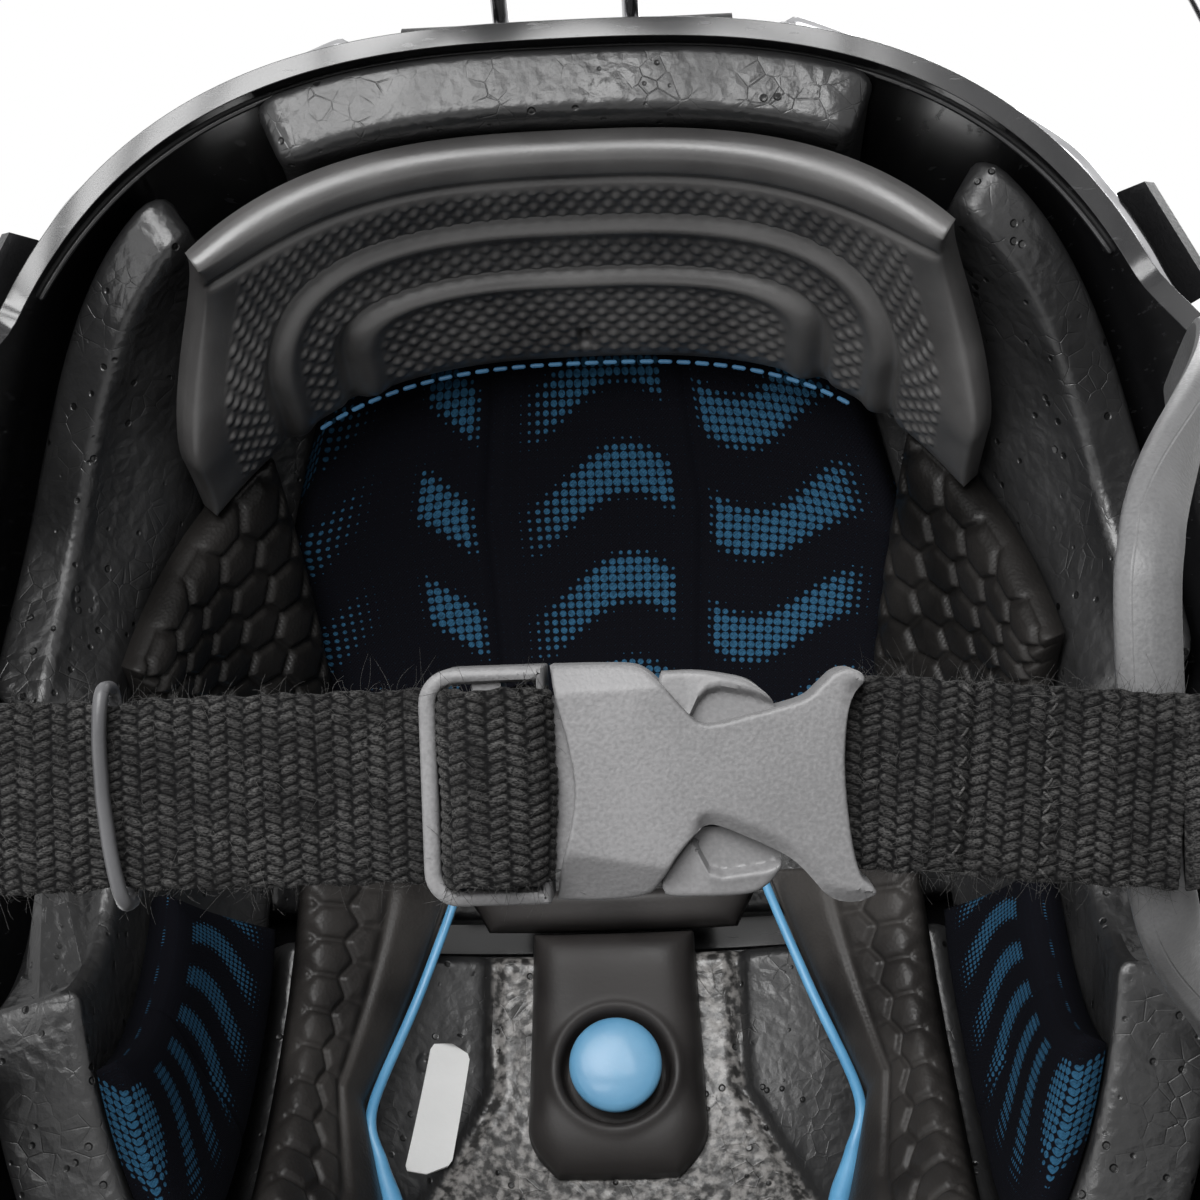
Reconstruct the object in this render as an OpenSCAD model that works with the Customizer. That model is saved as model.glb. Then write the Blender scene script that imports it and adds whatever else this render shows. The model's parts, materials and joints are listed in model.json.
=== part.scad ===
// Hockey helmet with a wire face cage, ear loops and a buckled chin strap.
// X points to the wearer's left, Y to the back of the head and Z to the crown.
// The origin is the middle of the head opening, level with the brow rim.

/* [Shell] */
// Half of the shell's width
half_width = 104; // [100:0.5:110]
// Half of the shell's length
half_length = 127; // [122:0.5:133]
// Height of the crown above the brow rim
dome_height = 112; // [106:0.5:118]
// Wall of both shells
shell_wall = 3; // [2.4:0.1:3.6]
// Angle over the crown at which the front shell ends
front_end = 110; // [108:0.5:113]
// Clear gap between the two shells
shell_gap = 0.8; // [0.6:0.1:1.2]

/* [Liner] */
// Thickness of the foam blocks
foam_thick = 18.4; // [16:0.1:20]
// Thickness of the comfort pads
pad_thick = 7.4; // [5:0.1:9]
// Clear gap between the liner's layers
liner_gap = 0.6; // [0.5:0.05:0.9]

/* [Cage] */
// Diameter of the cage's frame wire
wire_d = 3.2; // [2.6:0.1:4]
// Diameter of the cage's bars
bar_d = 3; // [2.4:0.1:3.6]
// Gap between the shell and the frame wire
wire_gap = 3.3; // [3.3:0.1:4.5]
// Height of the cage's pivot wire above the brow rim
pivot_z = 26; // [22:0.5:30]

/* [Ear loops] */
// Half of the distance between the two straight bars
loop_x = 64; // [60:0.5:68]
// Depth of the straight bars below the brow rim
loop_z = 98; // [94:0.5:102]
// Width of the straight bars
loop_w = 7; // [6:0.1:8]
// Thickness of the loops
loop_t = 4; // [3:0.1:5]

/* [Chin strap] */
// Width of the webbing
web_w = 20; // [18:0.5:22]
// Thickness of the webbing
web_t = 2; // [1.6:0.1:2.4]
// Distance of the strap's middle behind the middle of the head opening
strap_y = 18.6; // [17:0.1:23]

/* [Buckle] */
// Length of the female half
female_l = 31.5; // [30:0.5:34]
// Width of both halves
buckle_w = 24.4; // [23:0.1:26]
// Thickness of both halves
buckle_t = 8.4; // [8:0.1:9.6]
// Length of the ladder on the male half
ladder_l = 13; // [12:0.5:15]

/* [Hidden] */
$fn = 48;
plan_power_front = 2.8;
plan_power_rear = 2.3;
dome_power = 2.5;
// Below the rim the walls draw in as a dome this deep would
drop_height = 175;
// The dome's middle lies this far behind the middle of the head opening
dome_y = 36;
// The shells stop at this sideways angle, which leaves the ear open
ear_tilt = 79;
rear_tilt = 64;
eps = 0.01;

gloss_black = [0.05, 0.05, 0.06];
foam_grey = [0.42, 0.42, 0.43];
pad_black = [0.12, 0.12, 0.13];
print_blue = [0.35, 0.5, 0.68];
loop_grey = [0.55, 0.56, 0.58];
steel = [0.78, 0.79, 0.8];

// Geometry of the dome

function smooth(x) = let (c = min(1, max(0, x))) c * c * (3 - 2 * c);
function mix(a, b, s) = a + (b - a) * s;
function unit(v) = v / norm(v);

// turn runs from the brow over the crown to the nape, tilt from ear to ear
function direction(turn, tilt) =
    [sin(tilt), -cos(tilt) * cos(turn), cos(tilt) * sin(turn)];

// Distance from the dome's middle to the surface that lies inset below the shell's face
function reach(d, inset) =
    let (p = d[1] < 0 ? plan_power_front : plan_power_rear,
         plan = pow(abs(d[0]) / (half_width - inset), p)
              + pow(abs(d[1]) / (half_length - inset), p),
         h = d[2] > 0 ? dome_height - inset : drop_height)
    pow(pow(plan, dome_power / p) + pow(abs(d[2]) / h, dome_power), -1 / dome_power);

function dome_point(turn, tilt, inset) =
    let (d = direction(turn, tilt)) [0, dome_y, 0] + reach(d, inset) * d;

// Rows run along turn and columns along tilt, and inset is a function of both shares
function dome_grid(rows, cols, low, high, tilts, inset) =
    [for (i = [0:rows]) [for (j = [0:cols])
        let (tilt = mix(tilts[0], tilts[1], j / cols))
        dome_point(mix(low(tilt), high(tilt), i / rows), tilt, inset(i / rows, j / cols))]];

function is_open(i, j, rows, cols, open) =
    i < 0 || j < 0 || i >= rows || j >= cols
    || len([for (c = open) if (c[0] == i && c[1] == j) c]) > 0;

// Closed solid between two grids, with walls round its edge and round each open cell
module grid_solid(outer, inner, open = []) {
    rows = len(outer) - 1;
    cols = len(outer[0]) - 1;
    n = (rows + 1) * (cols + 1);
    function at(i, j) = i * (cols + 1) + j;
    function wall(p, q) = [[q, p, p + n], [q, p + n, q + n]];
    faces = [for (i = [0:rows - 1]) for (j = [0:cols - 1])
        if (!is_open(i, j, rows, cols, open))
            let (a = at(i, j), b = at(i + 1, j), c = at(i + 1, j + 1), d = at(i, j + 1))
            each concat([[a, b, c], [a, c, d]],
                [[a + n, c + n, b + n], [a + n, d + n, c + n]],
                is_open(i, j - 1, rows, cols, open) ? wall(a, b) : [],
                is_open(i + 1, j, rows, cols, open) ? wall(b, c) : [],
                is_open(i, j + 1, rows, cols, open) ? wall(c, d) : [],
                is_open(i - 1, j, rows, cols, open) ? wall(d, a) : [])];
    points = concat([for (row = outer) each row], [for (row = inner) each row]);
    polyhedron(points, faces, convexity = 8);
}

// The same for an outline of any shape: place turns two shares into turn and tilt
function shaped_grid(rows, cols, place, inset) =
    [for (i = [0:rows]) [for (j = [0:cols])
        let (s = i / rows, t = j / cols, p = place(s, t)) dome_point(p[0], p[1], inset(s, t))]];

module shaped_block(rows, cols, place, outer, inner) {
    grid_solid(shaped_grid(rows, cols, place, outer), shaped_grid(rows, cols, place, inner));
}

// A block of the liner with constant edges in turn and tilt
module dome_block(rows, cols, turns, tilts, outer, inner) {
    shaped_block(rows, cols, function (s, t) [mix(turns[0], turns[1], s), mix(tilts[0], tilts[1], t)],
        outer, inner);
}

// Share of a cushion's full thickness: drawn in at its edges, crowned between them
edge_share = 0.45;
function crown(s) = sqrt(max(0, 1 - pow(abs(2 * s - 1), 5)));
function cushion(s, t) = edge_share + (1 - edge_share) * crown(s) * crown(t);

// Wires and straps

function catmull(a, b, c, d, u) =
    0.5 * ((2 * b) + (c - a) * u + (2 * a - 5 * b + 4 * c - d) * u * u
        + (3 * b - a - 3 * c + d) * u * u * u);

// Smooth line through the points, with the same number of steps in each span
function spline(points, steps) =
    let (last = len(points) - 1,
         at = function (i) i < 0 ? 2 * points[0] - points[1]
            : i > last ? 2 * points[last] - points[last - 1] : points[i])
    concat([for (i = [0:last - 1]) for (k = [0:steps - 1])
        catmull(at(i - 1), at(i), at(i + 1), at(i + 2), k / steps)], [points[last]]);

function reversed(list) = [for (i = [len(list) - 1:-1:0]) list[i]];
function mirrored(p) = [-p[0], p[1], p[2]];

// One closed solid that carries a section along a path; away gives the section's side
module sweep(path, section, away) {
    last = len(path) - 1;
    m = len(is_function(section) ? section(0) : section);
    rings = [for (i = [0:last])
        let (along = unit(path[min(i + 1, last)] - path[max(i - 1, 0)]),
             side = unit(cross(along, away(path[i]))),
             up = cross(side, along),
             shape = is_function(section) ? section(i / last) : section)
        each [for (p = shape) path[i] + side * p[0] + up * p[1]]];
    sides = [for (i = [0:last - 1]) for (k = [0:m - 1])
        let (a = i * m + k, b = i * m + (k + 1) % m)
        each [[a, b, b + m], [a, b + m, a + m]]];
    caps = [[for (k = [m - 1:-1:0]) k], [for (k = [0:m - 1]) last * m + k]];
    polyhedron(rings, concat(sides, caps), convexity = 6);
}

function ring_section(d, sides = 8) =
    [for (k = [0:sides - 1]) d / 2 * [cos(360 * (k + 0.5) / sides), sin(360 * (k + 0.5) / sides)]];

function bar_section(w, t, c) =
    [[w / 2 - c, -t / 2], [w / 2, -t / 2 + c], [w / 2, t / 2 - c], [w / 2 - c, t / 2],
     [c - w / 2, t / 2], [-w / 2, t / 2 - c], [-w / 2, c - t / 2], [c - w / 2, -t / 2]];

// Shells

function front_low(tilt) = -80 * smooth((abs(tilt) - 46) / 26);
function front_high(tilt) = mix(front_end, 205, smooth((abs(tilt) - 50) / 14));
function rear_high(tilt) = mix(206, 218, smooth((abs(tilt) - 30) / 34));
front_rows = 24;
front_cols = 26;
rear_rows = 18;
rear_cols = 20;
// Cells left open as vents, as rows and columns of one half
front_vents = [[8, 9], [9, 9], [10, 9], [14, 10], [15, 10], [16, 10], [9, 12], [10, 12]];
rear_vents = [[7, 7], [8, 7], [9, 7], [11, 8], [12, 8]];
// The size screws run in slots, which are open cells of the rear shell
size_slots = [[0, 3], [1, 3], [2, 3]];
function both_halves(cells, cols) =
    concat(cells, [for (c = cells) [c[0], cols - 1 - c[1]]]);

// Two raised ridges run from the brow to the nape
ridge_tilt = 15;
ridge_rise = 1.8;
function ridge(tilt) = ridge_rise * smooth(1 - abs(abs(tilt) - ridge_tilt) / 7);
function front_ridge(turn, tilt) = ridge(tilt) * smooth((turn - 16) / 16) * smooth((88 - turn) / 14);
function rear_ridge(turn, tilt) = ridge(tilt) * smooth((turn - 92) / 14) * smooth((186 - turn) / 20);

module front_shell() {
    tilts = [-ear_tilt, ear_tilt];
    low = function (tilt) front_low(tilt);
    high = function (tilt) front_high(tilt);
    face = function (s, t) let (tilt = mix(-ear_tilt, ear_tilt, t))
        -front_ridge(mix(front_low(tilt), front_high(tilt), s), tilt);
    back = function (s, t) shell_wall;
    color(gloss_black)
        grid_solid(dome_grid(front_rows, front_cols, low, high, tilts, face),
            dome_grid(front_rows, front_cols, low, high, tilts, back),
            both_halves(front_vents, front_cols));
}

module rear_shell() {
    tilts = [-rear_tilt, rear_tilt];
    low = function (tilt) 90;
    high = function (tilt) rear_high(tilt);
    face = function (s, t) let (tilt = mix(-rear_tilt, rear_tilt, t))
        -shell_gap - shell_wall - rear_ridge(mix(90, rear_high(tilt), s), tilt);
    back = function (s, t) -shell_gap;
    color(gloss_black)
        grid_solid(dome_grid(rear_rows, rear_cols, low, high, tilts, face),
            dome_grid(rear_rows, rear_cols, low, high, tilts, back),
            both_halves(concat(rear_vents, size_slots), rear_cols));
}

// Foam blocks behind the shell
foam_face = shell_wall + liner_gap;
foam_back = foam_face + foam_thick;
pad_face = foam_back + liner_gap;
foam_tilt = 42;
layer_split = 1;

// The foam is thin at the brow and full at the hairline
brow_share = 0.6;
hairline = 27;
function foam_back_at(turn) =
    mix(foam_face + foam_thick * brow_share, foam_back, smooth(turn / hairline));
front_foam_turns = [0.5, 38];
front_foam_tilt = 23;

module front_foam() {
    color(foam_grey) dome_block(8, 8, front_foam_turns, [-front_foam_tilt, front_foam_tilt],
        function (s, t) foam_face,
        function (s, t) foam_back_at(mix(front_foam_turns[0], front_foam_turns[1], s)));
}

crown_foam_share = 0.6;
module crown_foam() {
    color(foam_grey) dome_block(8, 10, [39, 107], [-foam_tilt + 1, foam_tilt - 1],
        function (s, t) foam_face, function (s, t) foam_face + foam_thick * crown_foam_share);
}

// The side blocks stand off more, because the shell twists behind them. They start beside
// the brow, and their front edge climbs towards the ear.
side_foam_ease = 2;
side_foam_turns = [3, 186];
side_foam_tilt = 75;
side_start_tilt = 32;
side_start_turn = 24;
function side_inner(turn) =
    mix(side_start_tilt, foam_tilt + layer_split, smooth((turn - 23) / 11));
function side_front(tilt) =
    mix(side_foam_turns[0], side_start_turn, smooth((tilt - side_start_tilt) / 34));
function side_turn(s) = mix(side_foam_turns[0], side_foam_turns[1], s);

module side_foam_left() {
    color(foam_grey) shaped_block(18, 6,
        function (s, t) let (tilt = mix(side_inner(side_turn(s)), side_foam_tilt, t))
            [mix(side_front(tilt), side_foam_turns[1], s), tilt],
        function (s, t) foam_face + side_foam_ease, function (s, t) foam_back_at(side_turn(s)));
}

module side_foam_right() {
    mirror([1, 0, 0]) side_foam_left();
}

// The rear block rides with the rear shell, clear of the front shell's tongues
rear_foam_face = 1;
module rear_foam() {
    color(foam_grey) dome_block(9, 12, [112, 196], [-foam_tilt + 1, foam_tilt - 1],
        function (s, t) -shell_gap + rear_foam_face, function (s, t) foam_back + 1);
}

// Comfort pads

// The forehead pad is as wide as the brow above and wraps round to the temples below
pad_turns = [3.5, 36];
pad_drop = 3;
pad_tilts = [33, 45];
function brow_pad_place(s, t) =
    let (u = 2 * t - 1, low = pad_turns[0] - pad_drop * u * u, turn = mix(low, pad_turns[1], s))
    [turn, u * mix(pad_tilts[0], pad_tilts[1], smooth(turn / 25))];
// Two nested grooves follow the forehead pad's edge, open towards the crown
groove_legs = [0.12, 0.24];
groove_tops = [0.3, 0.55];
groove_depth = 1.6;
groove_width = 0.07;
function groove(s, t, k) =
    let (across = abs(2 * t - 1) / (1 - 2 * groove_legs[k]),
         along = (1 - s) / (1 - groove_tops[k]),
         m = pow(pow(across, 6) + pow(along, 6), 1 / 6))
    max(0, 1 - abs(m - 1) / groove_width);

// Its wings stand off a little more, where two foam blocks meet behind them
wing_ease = 1.7;
function brow_pad_face(s, t) = foam_back_at(mix(pad_turns[0], pad_turns[1], s)) + liner_gap
    + wing_ease * pow(2 * t - 1, 2);

module forehead_pad() {
    color(pad_black) shaped_block(14, 36, function (s, t) brow_pad_place(s, t),
        function (s, t) brow_pad_face(s, t),
        function (s, t) brow_pad_face(s, t) + pad_thick * cushion(s, t)
            - groove_depth * max(groove(s, t, 0), groove(s, t, 1)));
}

crown_pad_face = foam_face + foam_thick * crown_foam_share + 1.5 * liner_gap;
crown_pad_turns = [39, 98];
crown_pad_tilt = 34;
// Six sides: widest across the middle, narrower at the front and rear edges
function crown_pad_half(turn) =
    min(crown_pad_tilt, 26 + (turn - crown_pad_turns[0]) * 0.46, 24 + (crown_pad_turns[1] - turn) * 0.6);
module crown_pad() {
    color(print_blue) shaped_block(12, 14,
        function (s, t) let (turn = mix(crown_pad_turns[0], crown_pad_turns[1], s))
            [turn, (2 * t - 1) * crown_pad_half(turn)],
        function (s, t) crown_pad_face,
        function (s, t) crown_pad_face + pad_thick * cushion(s, t));
}

// Quilted pads bulge between their seams
quilt_depth = 1.4;
function quilt(s, t) = quilt_depth * (1 - pow(abs(sin(540 * s) * sin(540 * t)), 0.5));

module quilted_pad(turns, tilts) {
    dome_block(12, 12, turns, tilts,
        function (s, t) pad_face + liner_gap * 0.7,
        function (s, t) pad_face + pad_thick * cushion(s, t) - quilt(s, t) * crown(s) * crown(t));
}

module temple_pad_left() {
    color(pad_black) quilted_pad([38, 84], [35.5, 66]);
}

module temple_pad_right() {
    mirror([1, 0, 0]) temple_pad_left();
}

module ear_pad_left() {
    color(pad_black) dome_block(12, 6, [112, 184], [foam_tilt + 2.5, 66],
        function (s, t) pad_face, function (s, t) pad_face + pad_thick * cushion(s, t));
}

module ear_pad_right() {
    mirror([1, 0, 0]) ear_pad_left();
}

rear_pad_face = foam_back + 1 + liner_gap;
// A wing's inner edge bows out beside the tab
wing_turns = [103, 168];
wing_edge = [[103, 20.5], [134, 29.5], [148, 24.5], [168, 24]];
module rear_wing_left() {
    color(pad_black) shaped_block(12, 8,
        function (s, t) let (turn = mix(wing_turns[0], wing_turns[1], s))
            [turn, mix(lookup(turn, wing_edge), foam_tilt - 1.5, t)],
        function (s, t) rear_pad_face,
        function (s, t) rear_pad_face + pad_thick * cushion(s, t) - quilt(s, t) * crown(s) * crown(t));
}

module rear_wing_right() {
    mirror([1, 0, 0]) rear_wing_left();
}

// The tab hangs from the crossbar and ends in round corners
bar_turns = [104.5, 109.6];
tab_turns = [bar_turns[1] + 0.5, 137.5];
tab_tilt = 10;
module rear_tab() {
    color(pad_black) shaped_block(10, 6,
        function (s, t) [mix(tab_turns[0], tab_turns[1], s),
            (2 * t - 1) * tab_tilt * (1 - 0.35 * pow(max(0, s - 0.8) / 0.2, 2))],
        function (s, t) rear_pad_face,
        function (s, t) rear_pad_face + pad_thick * cushion(s, t));
}

disc_turn = 127;
disc_r = 9;
disc_t = 3;
disc_gap = 0.5;
module rear_disc() {
    color(print_blue) on_dome(disc_turn, 0, rear_pad_face + pad_thick + disc_gap) rotate([180, 0, 0])
        rotate_extrude() polygon([[0, 0], [disc_r, 0], [disc_r, disc_t * 0.4],
            [disc_r * 0.8, disc_t * 0.8], [disc_r * 0.4, disc_t], [0, disc_t]]);
}

module rear_crossbar() {
    color(pad_black) shaped_block(2, 12,
        function (s, t) [mix(bar_turns[0], bar_turns[1], s), (2 * t - 1) * mix(18.5, 15.5, s)],
        function (s, t) rear_pad_face, function (s, t) rear_pad_face + pad_thick * 0.8);
}

// Size screws: a head over the rear shell's slot and a shank that stands on the front shell
screw_head_r = 6.5;
screw_head_t = 2.2;
screw_shank_r = 2;
slot_tilt = mix(-rear_tilt, rear_tilt, (size_slots[0][1] + 0.5) / rear_cols);
slot_turn = mix(90, rear_high(slot_tilt), 2.5 / rear_rows);

module on_dome(turn, tilt, inset) {
    d = dome_point(turn, tilt, inset) - [0, dome_y, 0];
    side = dome_point(turn, tilt + 1, inset) - dome_point(turn, tilt - 1, inset);
    over = dome_point(turn + 1, tilt, inset) - dome_point(turn - 1, tilt, inset);
    out = unit(cross(side, over));
    translate(dome_point(turn, tilt, inset))
        rotate([0, acos(out[2]), atan2(out[1], out[0])]) children();
}

module button_screw(head_r, head_t, shank_r, shank_l) {
    rotate_extrude() polygon([[0, -shank_l], [shank_r, -shank_l], [shank_r, 0], [head_r, 0],
        [head_r, head_t * 0.4], [head_r * 0.75, head_t], [0, head_t]]);
}

module size_screws() {
    rise = shell_gap + shell_wall + 0.6;
    color(steel) for (side = [-1, 1])
        on_dome(slot_turn, side * slot_tilt, -rise)
            button_screw(screw_head_r, screw_head_t, screw_shank_r, rise - 0.3);
}

// Ear loops
loop_strap_gap = 0.4;
loop_points = [[half_width - 12.5, -25, -8], [half_width - 14.5, -31, -30],
    [half_width - 23, -25, -62], [loop_x + 4, -10, 8 - loop_z],
    [loop_x + 0.8, -3, 1.2 - loop_z], [loop_x, 3, -loop_z], [loop_x, 15, -loop_z],
    [loop_x, 27, -loop_z], [loop_x + 0.8, 33, 1.2 - loop_z], [loop_x + 4, 40, 8 - loop_z],
    [half_width - 24, 56, -62], [half_width - 14, 68, -30], [half_width - 9.5, 71, -10]];
loop_steps = 3;
front_arm_w = 11;
rear_arm_w = 8.5;
function loop_section(u) = bar_section(u < 0.5 ? mix(front_arm_w, loop_w, smooth(u / 0.3))
    : mix(loop_w, rear_arm_w, smooth((u - 0.7) / 0.3)), loop_t, 0.9);
// The bars lie flat below the ear and the arms stand on edge beside it
function loop_away(p) = let (share = smooth((p[2] + loop_z) / 34)) [-share, 0, 1.05 - share];

module ear_loop_left() {
    color(loop_grey) sweep(spline(loop_points, loop_steps), function (u) loop_section(u),
        function (p) loop_away(p));
}

module ear_loop_right() {
    mirror([1, 0, 0]) ear_loop_left();
}

module ear_loop_screws() {
    color(steel) for (side = [-1, 1]) {
        on_dome(-10, side * 62, -0.3) button_screw(4.5, 2, 1.6, 0);
        on_dome(191, side * 70, -0.3) button_screw(4.5, 2, 1.6, 0);
    }
}

// Cage

wire_off = wire_gap + wire_d / 2;
// Wires that are welded together lie this close
weld_gap = 0.15;
pivot_half = 36;
pivot_y = dome_point(12, 0, -wire_off)[1] - 0.6;
// Each level of the cage: height, half width, Y at the sides and Y at the front
function beside(in) = half_width - in;
function ahead(out) = dome_y - half_length - out;
cage_levels = [[-28, beside(3.5), ahead(-58), ahead(35)], [-48, beside(5.5), ahead(-53), ahead(45)],
    [-68, beside(11), ahead(-41), ahead(49.5)], [-88, beside(21), ahead(-21), ahead(49)]];
cage_bottom = [[beside(40), ahead(6), -104], [beside(66), ahead(30), -115], [0, ahead(40), -119]];
cage_power = 2.4;
wire_sides = 8;
cage_middle = [0, -40, -40];

// The frame wire leaves the pivot wire along the shell's brow and drops behind the side clip
brow_line = [[10.5, 27], [9.5, 36], [10, 41], [10.7, 45], [11.4, 48], [10.6, 51], [5, 54.5],
    [-2, 57.5]];
frame_half = concat([for (out = [weld_gap, 2, 5]) [pivot_half + out, pivot_y, pivot_z]],
    [for (p = brow_line) dome_point(p[0], p[1], -wire_off)],
    [for (l = cage_levels) [l[1], l[2], l[0]]], cage_bottom);
frame_points = concat(frame_half, reversed([for (i = [0:len(frame_half) - 2])
    mirrored(frame_half[i])]));

function cage_y(level, x, w) =
    mix(level[2], level[3], pow(1 - pow(min(1, abs(x) / w), cage_power), 1 / cage_power));

module cage_pivot_wire() {
    color(steel) translate([-pivot_half, pivot_y, pivot_z]) rotate([0, 90, 0])
        cylinder(h = 2 * pivot_half, d = wire_d);
}

frame_path = spline(frame_points, 3);

module cage_frame() {
    color(steel) sweep(frame_path, ring_section(wire_d, wire_sides),
        function (p) p - cage_middle);
}

bar_steps = 16;
module cage_cross_bars() {
    color(steel) for (level = cage_levels) {
        w = level[1] - wire_d / 2;
        path = [for (i = [0:bar_steps]) let (x = -w * cos(180 * i / bar_steps))
            [x, cage_y(level, x, level[1]), level[0]]];
        sweep(path, ring_section(bar_d, wire_sides), function (p) [0, 0, 1]);
    }
}

upright_x = [11, 33, 55];
// The uprights pass in front of the cross bars and touch them, also where a bar runs slanting
function upright_off(level, x) =
    let (lean = (cage_y(level, x + 1, level[1]) - cage_y(level, x - 1, level[1])) / 2)
    (bar_d + weld_gap) * sqrt(1 + lean * lean);
// Y or Z of the frame wire at a distance from the middle, above or below the face
frame_low = [for (p = frame_path) if (p[2] < -88 && p[0] >= 0) p];
frame_high = concat([[0, pivot_y, pivot_z]], [for (p = frame_path) if (p[2] > 12 && p[0] > 0) p]);
function along_frame(line, x, axis) = lookup(x, [for (p = line) [p[0], p[axis]]]);
function frame_front(line, x) =
    [x, along_frame(line, x, 1) - (wire_d + bar_d) / 2 - 0.1, along_frame(line, x, 2)];
// Only the middle ones reach the pivot wire, which leaves the eyes a clear view
function upright_top(x) = x > upright_x[0]
    ? [[x, cage_y(cage_levels[0], x, cage_levels[0][1]) - upright_off(cage_levels[0], x),
        cage_levels[0][0] + 3]]
    : [frame_front(frame_high, x) + [0, 0, -0.5],
        [x, (pivot_y + cage_y(cage_levels[0], x, cage_levels[0][1])) / 2 - 6, 0]];
function upright(x) = concat(upright_top(x),
    [for (l = cage_levels) [x, cage_y(l, x, l[1]) - upright_off(l, x), l[0]]],
    [frame_front(frame_low, x) + [0, 0, -0.5]]);

module cage_uprights() {
    color(steel) for (x = upright_x) for (side = [-1, 1])
        sweep(spline([for (p = upright(x)) [side * p[0], p[1], p[2]]], 3),
            ring_section(bar_d, wire_sides), function (p) [1, 0, 0]);
}

// The chin cup hangs inside the lowest bars
cup_r = 34;
cup_wall = 3.5;
module chin_cup() {
    rows = 6;
    cols = 10;
    middle = [0, cage_levels[3][3] + bar_d / 2 + 0.3 + cup_r, cage_levels[3][0]];
    cup = function (s, t, r) let (a = mix(-58, 58, t), b = mix(-8, 52, s))
        middle + r * [sin(a) * cos(b) * 1.15, -cos(a) * cos(b), -sin(b) * 0.85];
    outer = [for (i = [0:rows]) [for (j = [0:cols]) cup(i / rows, 1 - j / cols, cup_r)]];
    inner = [for (i = [0:rows]) [for (j = [0:cols]) cup(i / rows, 1 - j / cols, cup_r - cup_wall)]];
    color(pad_black) grid_solid(outer, inner);
}

// Clips

clip_w = 12;
clip_x = 22;
clip_lean = -7;
clip_plate = wire_off - 0.9;
clip_screw_up = 8;
clip_screw_r = 1.5;
clip_hole_r = 1.7;
wire_play = 0.08;

// The clip's plate stands on the brow and a half round holds the wire
module pivot_clip() {
    difference() {
        rotate([0, 90, 0]) linear_extrude(clip_w, center = true) union() {
            circle(r = wire_d / 2 + 1.8);
            rotate(clip_lean) translate([-12, 0.9]) square([14, clip_plate - 0.9]);
        }
        rotate([0, 90, 0]) cylinder(h = clip_w + 2, r = wire_d / 2 + wire_play, center = true);
        translate([0, 0, clip_screw_up]) rotate([90, 0, 0])
            cylinder(h = 20, r = clip_hole_r, center = true);
    }
}

module pivot_clips() {
    color(gloss_black) for (side = [-1, 1]) translate([side * clip_x, pivot_y, pivot_z])
        pivot_clip();
}

module pivot_clip_screws() {
    color(steel) for (side = [-1, 1])
        translate([side * clip_x, pivot_y - 0.5, pivot_z + clip_screw_up]) rotate([90, 0, 0])
            button_screw(3.2, 1.6, clip_screw_r, 3);
}

// The side clips are hooks that open downwards round the frame wire
hook_wall = 2.5;
hook_l = 22;
hook_tilt = 45.2;
hook_turn = 10.7;
hook_profile = [[0.5, -3], [-0.4, 20], [1.8, 20], [2.4, 8], [9.3, 8], [12.6, 1], [10.6, -1.5],
    [7.7, 5], [2.4, 5], [2.4, -3]];
hook_screw_up = 14;

module side_clip_left() {
    color(gloss_black) clip_place() difference() {
        intersection() {
            linear_extrude(hook_l, center = true) polygon(hook_profile);
            rotate([90, 0, 0]) linear_extrude(60, center = true) polygon([[-2, -hook_l], [20, -hook_l],
                [20, hook_l / 2 - 5], [8, hook_l / 2], [-2, hook_l / 2]]);
        }
        translate([0, hook_screw_up, 0]) rotate([0, 90, 0])
            cylinder(h = 20, r = clip_hole_r, center = true);
    }
}

// The profile's first axis points out of the shell and its second one up
module clip_place() {
    seat = dome_point(hook_turn, hook_tilt, 0);
    ahead = dome_point(hook_turn, hook_tilt + 1, 0) - dome_point(hook_turn, hook_tilt - 1, 0);
    translate(seat) rotate([0, 0, atan2(ahead[1], ahead[0]) - 90])
        rotate([90, 0, 0]) children();
}

module side_clip_right() {
    mirror([1, 0, 0]) side_clip_left();
}

module side_clip_screws() {
    color(steel) for (side = [0, 1]) mirror([side, 0, 0]) clip_place()
        translate([2.8, hook_screw_up, 0]) rotate([0, 90, 0])
            button_screw(4, 2, clip_screw_r, 2.3);
}

// Chin strap

strap_z = -loop_z - loop_t / 2 - loop_strap_gap - web_t / 2;
buckle_z = strap_z;
female_x = 1.6;
female_end = female_x + female_l;
ladder_x = female_x - 0.3 - ladder_l;
shell_x = half_width + 0.4 + web_t / 2;
strap_rise = [[loop_x + 6, strap_y, strap_z], [loop_x + 17, strap_y, strap_z + 7],
    [93, strap_y, -72], [shell_x - 2, strap_y, -48], [shell_x + 0.3, strap_y + 1, -34],
    [shell_x + 0.3, strap_y + 1, -24]];
strap_free_end = -loop_x + 4;

// The fixed half drifts backwards on its way to the shell
strap_drift = 3.2;
module strap_side(start, drift) {
    first = [start, strap_y, strap_z];
    path = concat(drift == 0 ? [first] : [first, [female_end + 1.5, strap_y, strap_z]],
        [[loop_x + 2, strap_y + drift, strap_z]],
        spline([for (p = strap_rise) p + [0, drift, 0]], 3));
    sweep(path, bar_section(web_w, web_t, 0.3),
        function (p) p[0] < loop_x + 4 ? [0, 0, -1] : [-1, 0, -0.6]);
}

// The fixed half runs from the anchor to the female half's rear bar
module strap_right() {
    color(pad_black) strap_side(female_x + mouth_x + 0.3, strap_drift);
}

module strap_left() {
    color(pad_black) mirror([1, 0, 0]) strap_side(-strap_free_end, 0);
}

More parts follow.
